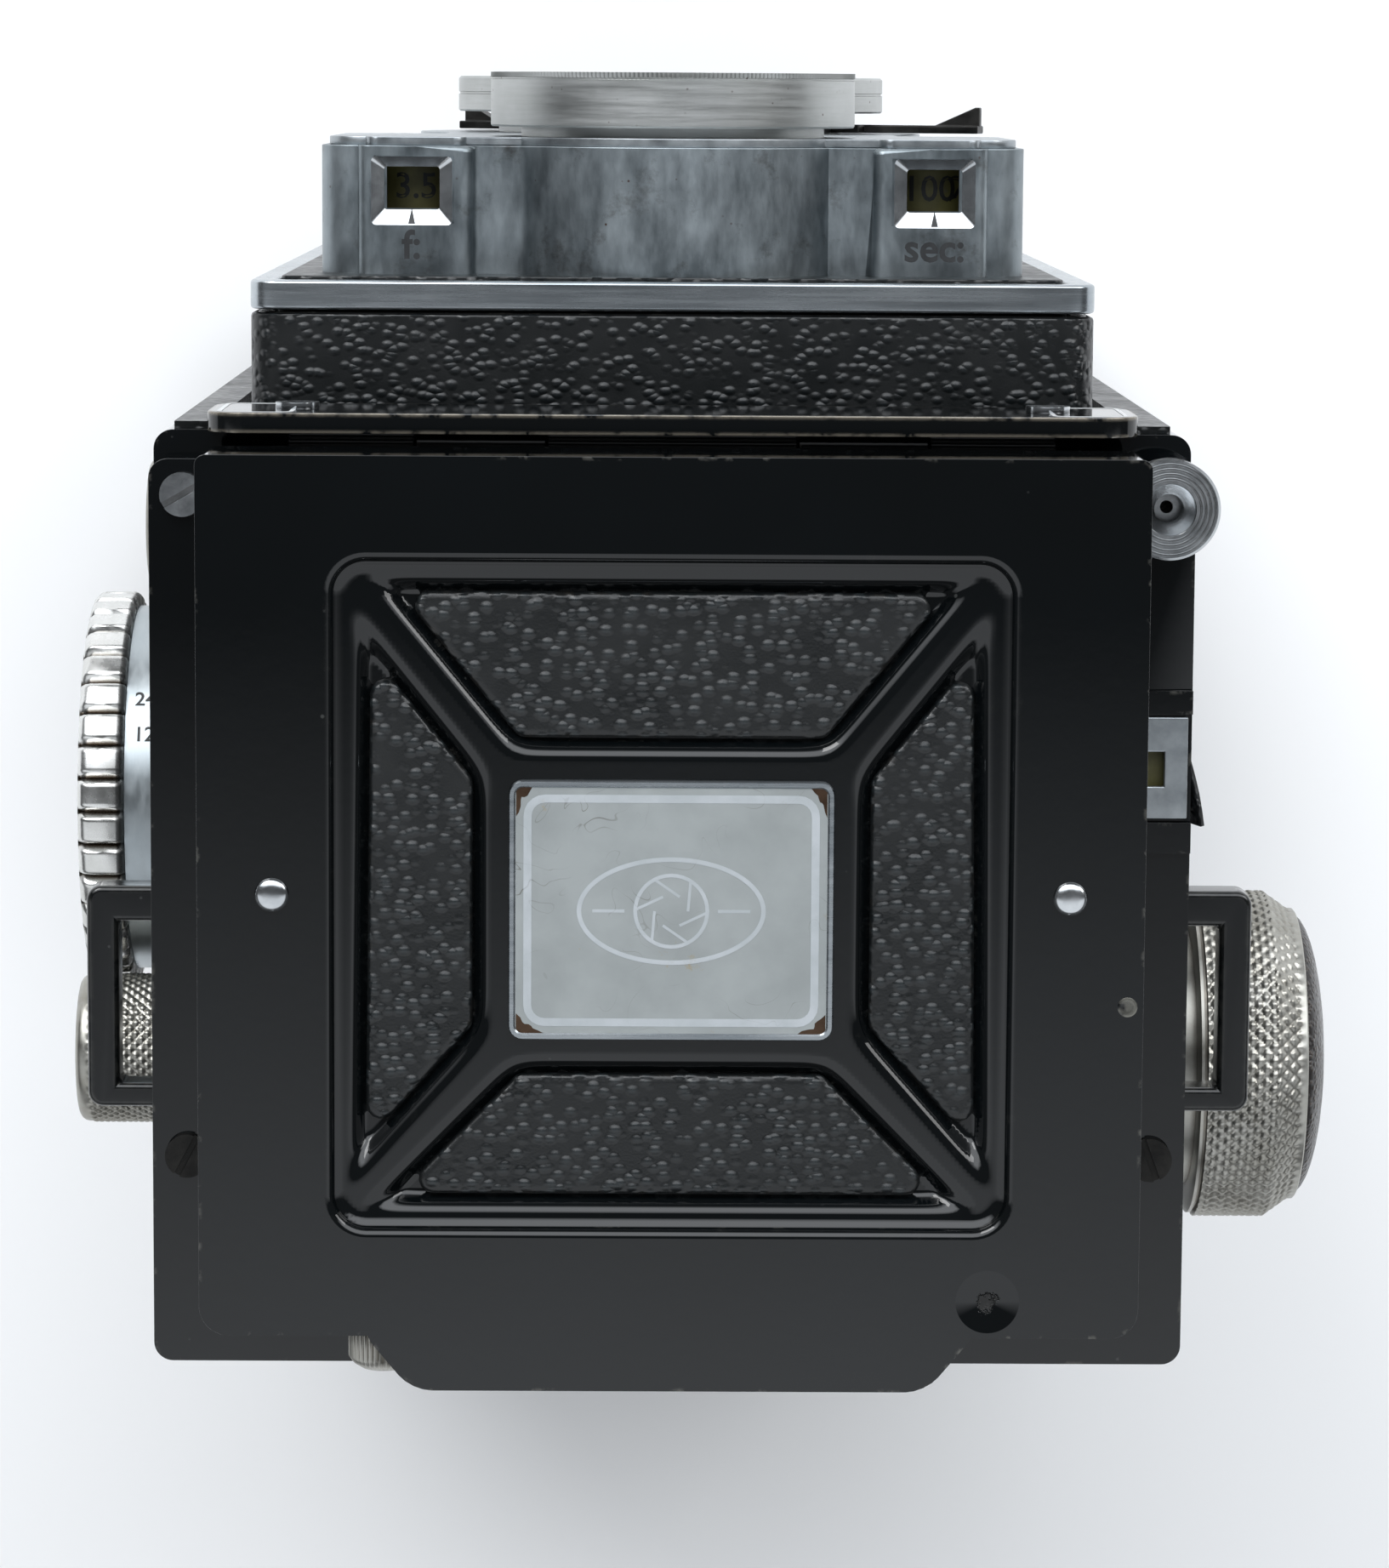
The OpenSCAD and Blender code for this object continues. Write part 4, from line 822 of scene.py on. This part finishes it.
scale = bmesh.new()
for angle_deg, text in ((-35.3, "24"), (-23.6, "12"), (-11.9, "8"), (-0.2, "6"), (9.2, "5"), (23.2, "4"),
                        (42.0, "3")):
    tilt = math.radians(angle_deg)
    near = 43.75 if len(text) > 1 else 42.4

    def on_drum(x, y, h, tilt=tilt, near=near):
        """A point of the distance scale, which reads from above with the rear of the camera below."""
        turn = tilt - y / drum_r
        r = drum_r + h
        return near - x, fy + r * math.sin(turn), fz + r * math.cos(turn)
    figures(scale, text, 1.3, on_drum)
piece("focus_scale_figures", scale, FIGURES, body=BODY_OF["focus_knob"])

catch_low, catch_high = edges_of("hood_catch")
cx, cz = (catch_low.x + catch_high.x) / 2, (catch_low.z + catch_high.z) / 2
catch_r = (catch_high.x - catch_low.x) / 2
outline = [(1.2, catch_low.y), (1.2, 31.6), (catch_r - 0.2, 31.6)]
outline += [(catch_r, 31.8), (catch_r, 34.2), (catch_r - 0.35, 34.7), (catch_r - 1.0, 35.1)]
outline.append((0.3, catch_high.y))
catch = bmesh.new()
lathe(catch, outline, 240, lambda a, b, h: (cx + a, h, cz + b),
      lambda angle, r, along: -0.16 * (0.5 + 0.5 * math.cos(angle * 40)) if r > catch_r - 0.4 else 0)
piece("hood_catch_button", catch, KNURLED, "hood_catch", smooth=40)

# ---- front: box, panel and lens housing ----

piece("front_box_cover", round_edges(solid_of("front_box_leather"), 0.3, 2), LEATHER, "front_box_leather")
piece("lens_panel_trim", round_edges(solid_of("panel_trim"), 0.28, 3), TRIM, "panel_trim")
piece("lens_panel_cover", round_edges(solid_of("panel_leather"), 0.15, 2), LEATHER, "panel_leather")

housing_low, housing_high = edges_of("lens_housing")
housing = solid_of("lens_housing")
round_edges(housing, 0.9, 4, lambda p: p.y < housing_low.y + 8 and abs(abs(p.x) - 16) < 1 and p.z > 90,
            sharp=12)
round_edges(housing, 0.35, 3, lambda p: abs(p.y - housing_low.y) < 0.03 and
            (math.hypot(p.x, p.z - 85) > 14.5 or p.z < 60) and (math.hypot(p.x, p.z - 43) > 18 or p.z > 66))
piece("lens_housing_shell", housing, HOUSING, "lens_housing")
piece("face_cover", round_edges(solid_of("face_plate"), 0.18, 2), SATIN, "face_plate")

DIAL_X, DIAL_Z = 20.7, 87.5
dial_low, dial_high = edges_of("aperture_dial")
dial_r = (dial_high.x - dial_low.x) / 2
SILL = housing_high.z
for side, title in ((1, "aperture"), (-1, "speed")):
    bezel = bmesh.new()
    outer_box = (DIAL_X - 3.2, -57.8, DIAL_X + 3.2, -52.4)
    inner_box = (DIAL_X - 2.2, -57.0, DIAL_X + 2.2, -53.6)
    rows = []
    for box, z, r in ((outer_box, SILL - 0.6, 0.4), (outer_box, SILL - 0.02, 0.4),
                      (inner_box, SILL - 0.55, 0.25), (inner_box, SILL - 0.75, 0.25)):
        shape = rounded([Vector((box[0], box[1])), Vector((box[2], box[1])), Vector((box[2], box[3])),
                         Vector((box[0], box[3]))], r)
        rows.append([bezel.verts.new(Vector((side * p.x, p.y, z)) * MM) for p in shape])
    for lower, upper in zip(rows, rows[1:] + rows[:1]):
        for i in range(len(lower)):
            j = (i + 1) % len(lower)
            bezel.faces.new((lower[i], lower[j], upper[j], upper[i]))
    piece(f"{title}_window_bezel", bezel, CHROME, body="lens_board", smooth=30)
    pointer = bmesh.new()
    tip = [pointer.verts.new(Vector(p) * MM) for p in (
        (side * DIAL_X - 0.28, -52.5, SILL - 0.05), (side * DIAL_X + 0.28, -52.5, SILL - 0.05),
        (side * DIAL_X, -53.75, SILL - 0.45), (side * DIAL_X, -53.0, SILL - 0.6))]
    for corners in ((0, 1, 2), (0, 3, 1), (1, 3, 2), (2, 3, 0)):
        pointer.faces.new([tip[k] for k in corners])
    piece(f"{title}_pointer", pointer, FIGURES, body="lens_board")
    node = f"{title}_dial"
    drum = round_edges(solid_of(node), 0.15, 2)
    piece(f"{title}_drum", drum, DIAL, node)
    marks = bmesh.new()
    stops = ["3.5", "4", "5.6", "8", "11", "16"] if side > 0 else ["100", "250", "50", "25", "10", "5"]
    for k, text in enumerate(stops):
        def on_dial(x, y, h, k=k, side=side):
            """A point of a dial figure, wrapped round the drum."""
            turn = side * math.radians(40 * k) - x / dial_r
            r = dial_r + h
            return side * DIAL_X + r * math.sin(turn), -55.25 - y, DIAL_Z + r * math.cos(turn)
        figures(marks, text, 2.1, on_dial)
    piece(f"{title}_dial_figures", marks, FIGURES, body=BODY_OF[node])
    label = bmesh.new()
    figures(label, "f:" if side > 0 else "sec:", 2.3,
            lambda x, y, h, side=side: (side * DIAL_X - x, -50.75 - y, SILL + h - 0.005), bold=0.07)
    piece(f"{title}_label", label, FIGURES, body="lens_board")

view_low, view_high = edges_of("viewing_mount")
view_r = (view_high.x - view_low.x) / 2
nose, seat_y, axis_z = -view_low.y, -view_high.y, (view_low.z + view_high.z) / 2
outline = [(10.6, seat_y), (12.4, seat_y), (12.4, 60.1), (view_r - 0.1, 60.1), (view_r, 60.25),
           (view_r, 62.0), (view_r, 63.9), (view_r - 0.12, 63.95), (view_r - 0.12, 64.05),
           (view_r + 0.02, 64.1), (view_r + 0.02, 64.5),
           (view_r - 0.12, nose), (view_r - 1.4, nose), (view_r - 1.7, nose - 0.3)]
outline += [(view_r - 2.2, nose - 0.9), (view_r - 2.3, nose - 1.2), (view_r - 3.0, nose - 1.8),
            (view_r - 3.1, nose - 2.1), (10.6, nose - 3.2)]


def rim_knurl(angle, radius, along):
    """Ripple of the fine straight knurl on the viewing ring's front rim."""
    return -0.14 * (0.5 + 0.5 * math.cos(angle * 260)) if radius > view_r and along > 64.05 else 0


viewing = bmesh.new()
lathe(viewing, outline, 1040, lambda a, b, h: (a, -h, axis_z + b), rim_knurl, ring=True)
piece("viewing_lens_ring", viewing, BRUSHED_RING, "viewing_mount", smooth=30)

take_low, take_high = edges_of("taking_mount")
take_r = (take_high.x - take_low.x) / 2
nose, seat_y, low_z = -take_low.y, -take_high.y, (take_low.z + take_high.z) / 2
outline = [(10.0, seat_y), (15.4, seat_y), (15.4, 61.1), (take_r - 0.15, 61.1), (take_r, 61.25),
           (take_r, 62.6), (take_r - 0.12, 62.65), (take_r - 0.12, 62.8), (take_r, 62.85),
           (take_r, nose - 0.2), (take_r - 0.2, nose), (take_r - 1.3, nose), (take_r - 3.0, nose - 1.0),
           (take_r - 3.1, nose - 1.4), (take_r - 5.0, nose - 2.0), (take_r - 5.1, nose - 2.4),
           (10.0, nose - 3.4)]
taking = bmesh.new()
lathe(taking, outline, 144, lambda a, b, h: (a, -h, low_z + b), ring=True)
piece("taking_lens_ring", taking, BRUSHED_RING, "taking_mount", smooth=30)

for node in ("aperture_lever", "speed_lever", "cocking_lever"):
    lever = round_edges(solid_of(node), 0.12, 2)
    piece(f"{node}_arm", lever, BLACK_STEEL, node)

# ---- CAD nodes whose own shape shows ----

KEPT = {
    LEATHER: ["body_leather", "door_leather"],
    ENAMEL: ["front_box", "back_door", "hood_base", "side_flap_left", "side_flap_right", "rear_flap",
             "magnifier_frame"],
    INNER_BLACK: ["takeup_spool", "supply_spool", "lens_panel", "mirror_holder", "pressure_plate",
                  "film_gate"],
    DIAL: ["counter_disc"],
    STEEL: ["wind_shaft", "focus_shaft", "guide_rods", "tripod_bush", "feet", "hinge_pins",
            "shutter_housing"],
    BLACK_STEEL: ["shutter_blades"],
    SATIN: ["lock_ring"],
    SILVERED: ["mirror"],
    GLASS: ["viewing_lens", "taking_lenses", "magnifier_lens"],
    GROUND_GLASS: ["focusing_screen"],
}
for finish, nodes in KEPT.items():
    for node in nodes:
        mesh = frame["nodes"][node].data
        mesh.materials.clear()
        mesh.materials.append(finish)

# ---- floor, light and view ----

FLOOR_HALF = 9.0
floor = bmesh.new()
corners = [floor.verts.new((sx * FLOOR_HALF, sy * FLOOR_HALF, CAD_BOX[0].z)) for sx, sy in QUARTERS]
floor.faces.new(corners)
floor_mesh = bpy.data.meshes.new("floor")
floor.to_mesh(floor_mesh)
floor.free()
floor_object = bpy.data.objects.new("floor", floor_mesh)
bpy.context.scene.collection.objects.link(floor_object)
floor_mesh.materials.append(lacquer("studio_paper", "#f4f4f4", "#f2f2f2", 0.8, blot=200))

world = bpy.data.worlds.new("studio")
bpy.context.scene.world = world
world.use_nodes = True
sky = world.node_tree
sky.nodes.clear()
direction = add(sky, "ShaderNodeTexCoord").outputs["Generated"]
dx, dy, dz = add(sky, "ShaderNodeSeparateXYZ", links={0: direction}).outputs
up = combine(sky, "MAXIMUM", dz, 0.02)
front = combine(sky, "MAXIMUM", combine(sky, "MULTIPLY", dy, -1.0), 0.02)
wide = combine(sky, "ABSOLUTE", dx, 0.0)


def window(value, low, full, full_end, high):
    """Soft-edged window of a value: nothing below low, all between full and full_end, nothing above high."""
    return combine(sky, "MULTIPLY", remap(sky, value, low, full), remap(sky, value, high, full_end))


rear_lean = combine(sky, "DIVIDE", dy, up)
rear_panel = combine(sky, "MULTIPLY", window(rear_lean, 0.1, 0.25, 1.4, 2.4),
                     remap(sky, combine(sky, "DIVIDE", wide, up), 2.2, 1.2))
front_rise = combine(sky, "DIVIDE", dz, front)
front_panel = combine(sky, "MULTIPLY", window(front_rise, 0.3, 0.6, 1.7, 3.2),
                      remap(sky, combine(sky, "DIVIDE", wide, front), 1.8, 1.0))
ROOM, REAR, FRONT = 0.1, 1.05, 3.4
rear_light = combine(sky, "MULTIPLY", rear_panel, REAR)
front_light = combine(sky, "MULTIPLY", front_panel, FRONT)
light = combine(sky, "ADD", combine(sky, "ADD", rear_light, front_light), ROOM)
shade = add(sky, "ShaderNodeBackground", {"Color": linear("#f6faff")}, {"Strength": light})
add(sky, "ShaderNodeOutputWorld", links={"Surface": shade})


def softbox(name, place, target, size, power):
    """A square soft light that faces a point."""
    lamp = bpy.data.lights.new(name, "AREA")
    lamp.shape = "RECTANGLE"
    lamp.size, lamp.size_y = size
    lamp.energy = power
    holder = bpy.data.objects.new(name, lamp)
    holder.location = place
    holder.rotation_euler = (Vector(target) - Vector(place)).to_track_quat("-Z", "Y").to_euler()
    bpy.context.scene.collection.objects.link(holder)


MIDDLE = (0, 0, 0.1)
softbox("key_softbox", (0.45, -0.85, 0.65), MIDDLE, (0.5, 0.5), 5)
softbox("fill_softbox", (-0.7, -0.5, 0.5), MIDDLE, (0.4, 0.4), 2)

FOCAL_PX = 6200
FRAME_LONG = 1843
SENSOR = 36
BACK = Vector((0.00989, -0.13151, 0.99127)).normalized()
ACROSS = Vector((-0.99994, -0.00657, 0.00910))
ACROSS = (ACROSS - BACK * ACROSS.dot(BACK)).normalized()
axes = Matrix((ACROSS, BACK.cross(ACROSS), BACK)).transposed()
lens = bpy.data.cameras.new("view")
lens.sensor_fit = "AUTO"
lens.sensor_width = SENSOR
lens.lens = FOCAL_PX / FRAME_LONG * SENSOR
camera = bpy.data.objects.new("view", lens)
camera.matrix_world = Matrix.Translation(Vector((2.21, -63.59, 520.9)) * MM) @ axes.to_4x4()
bpy.context.scene.collection.objects.link(camera)
bpy.context.scene.camera = camera
bpy.context.scene.view_settings.view_transform = "Standard"
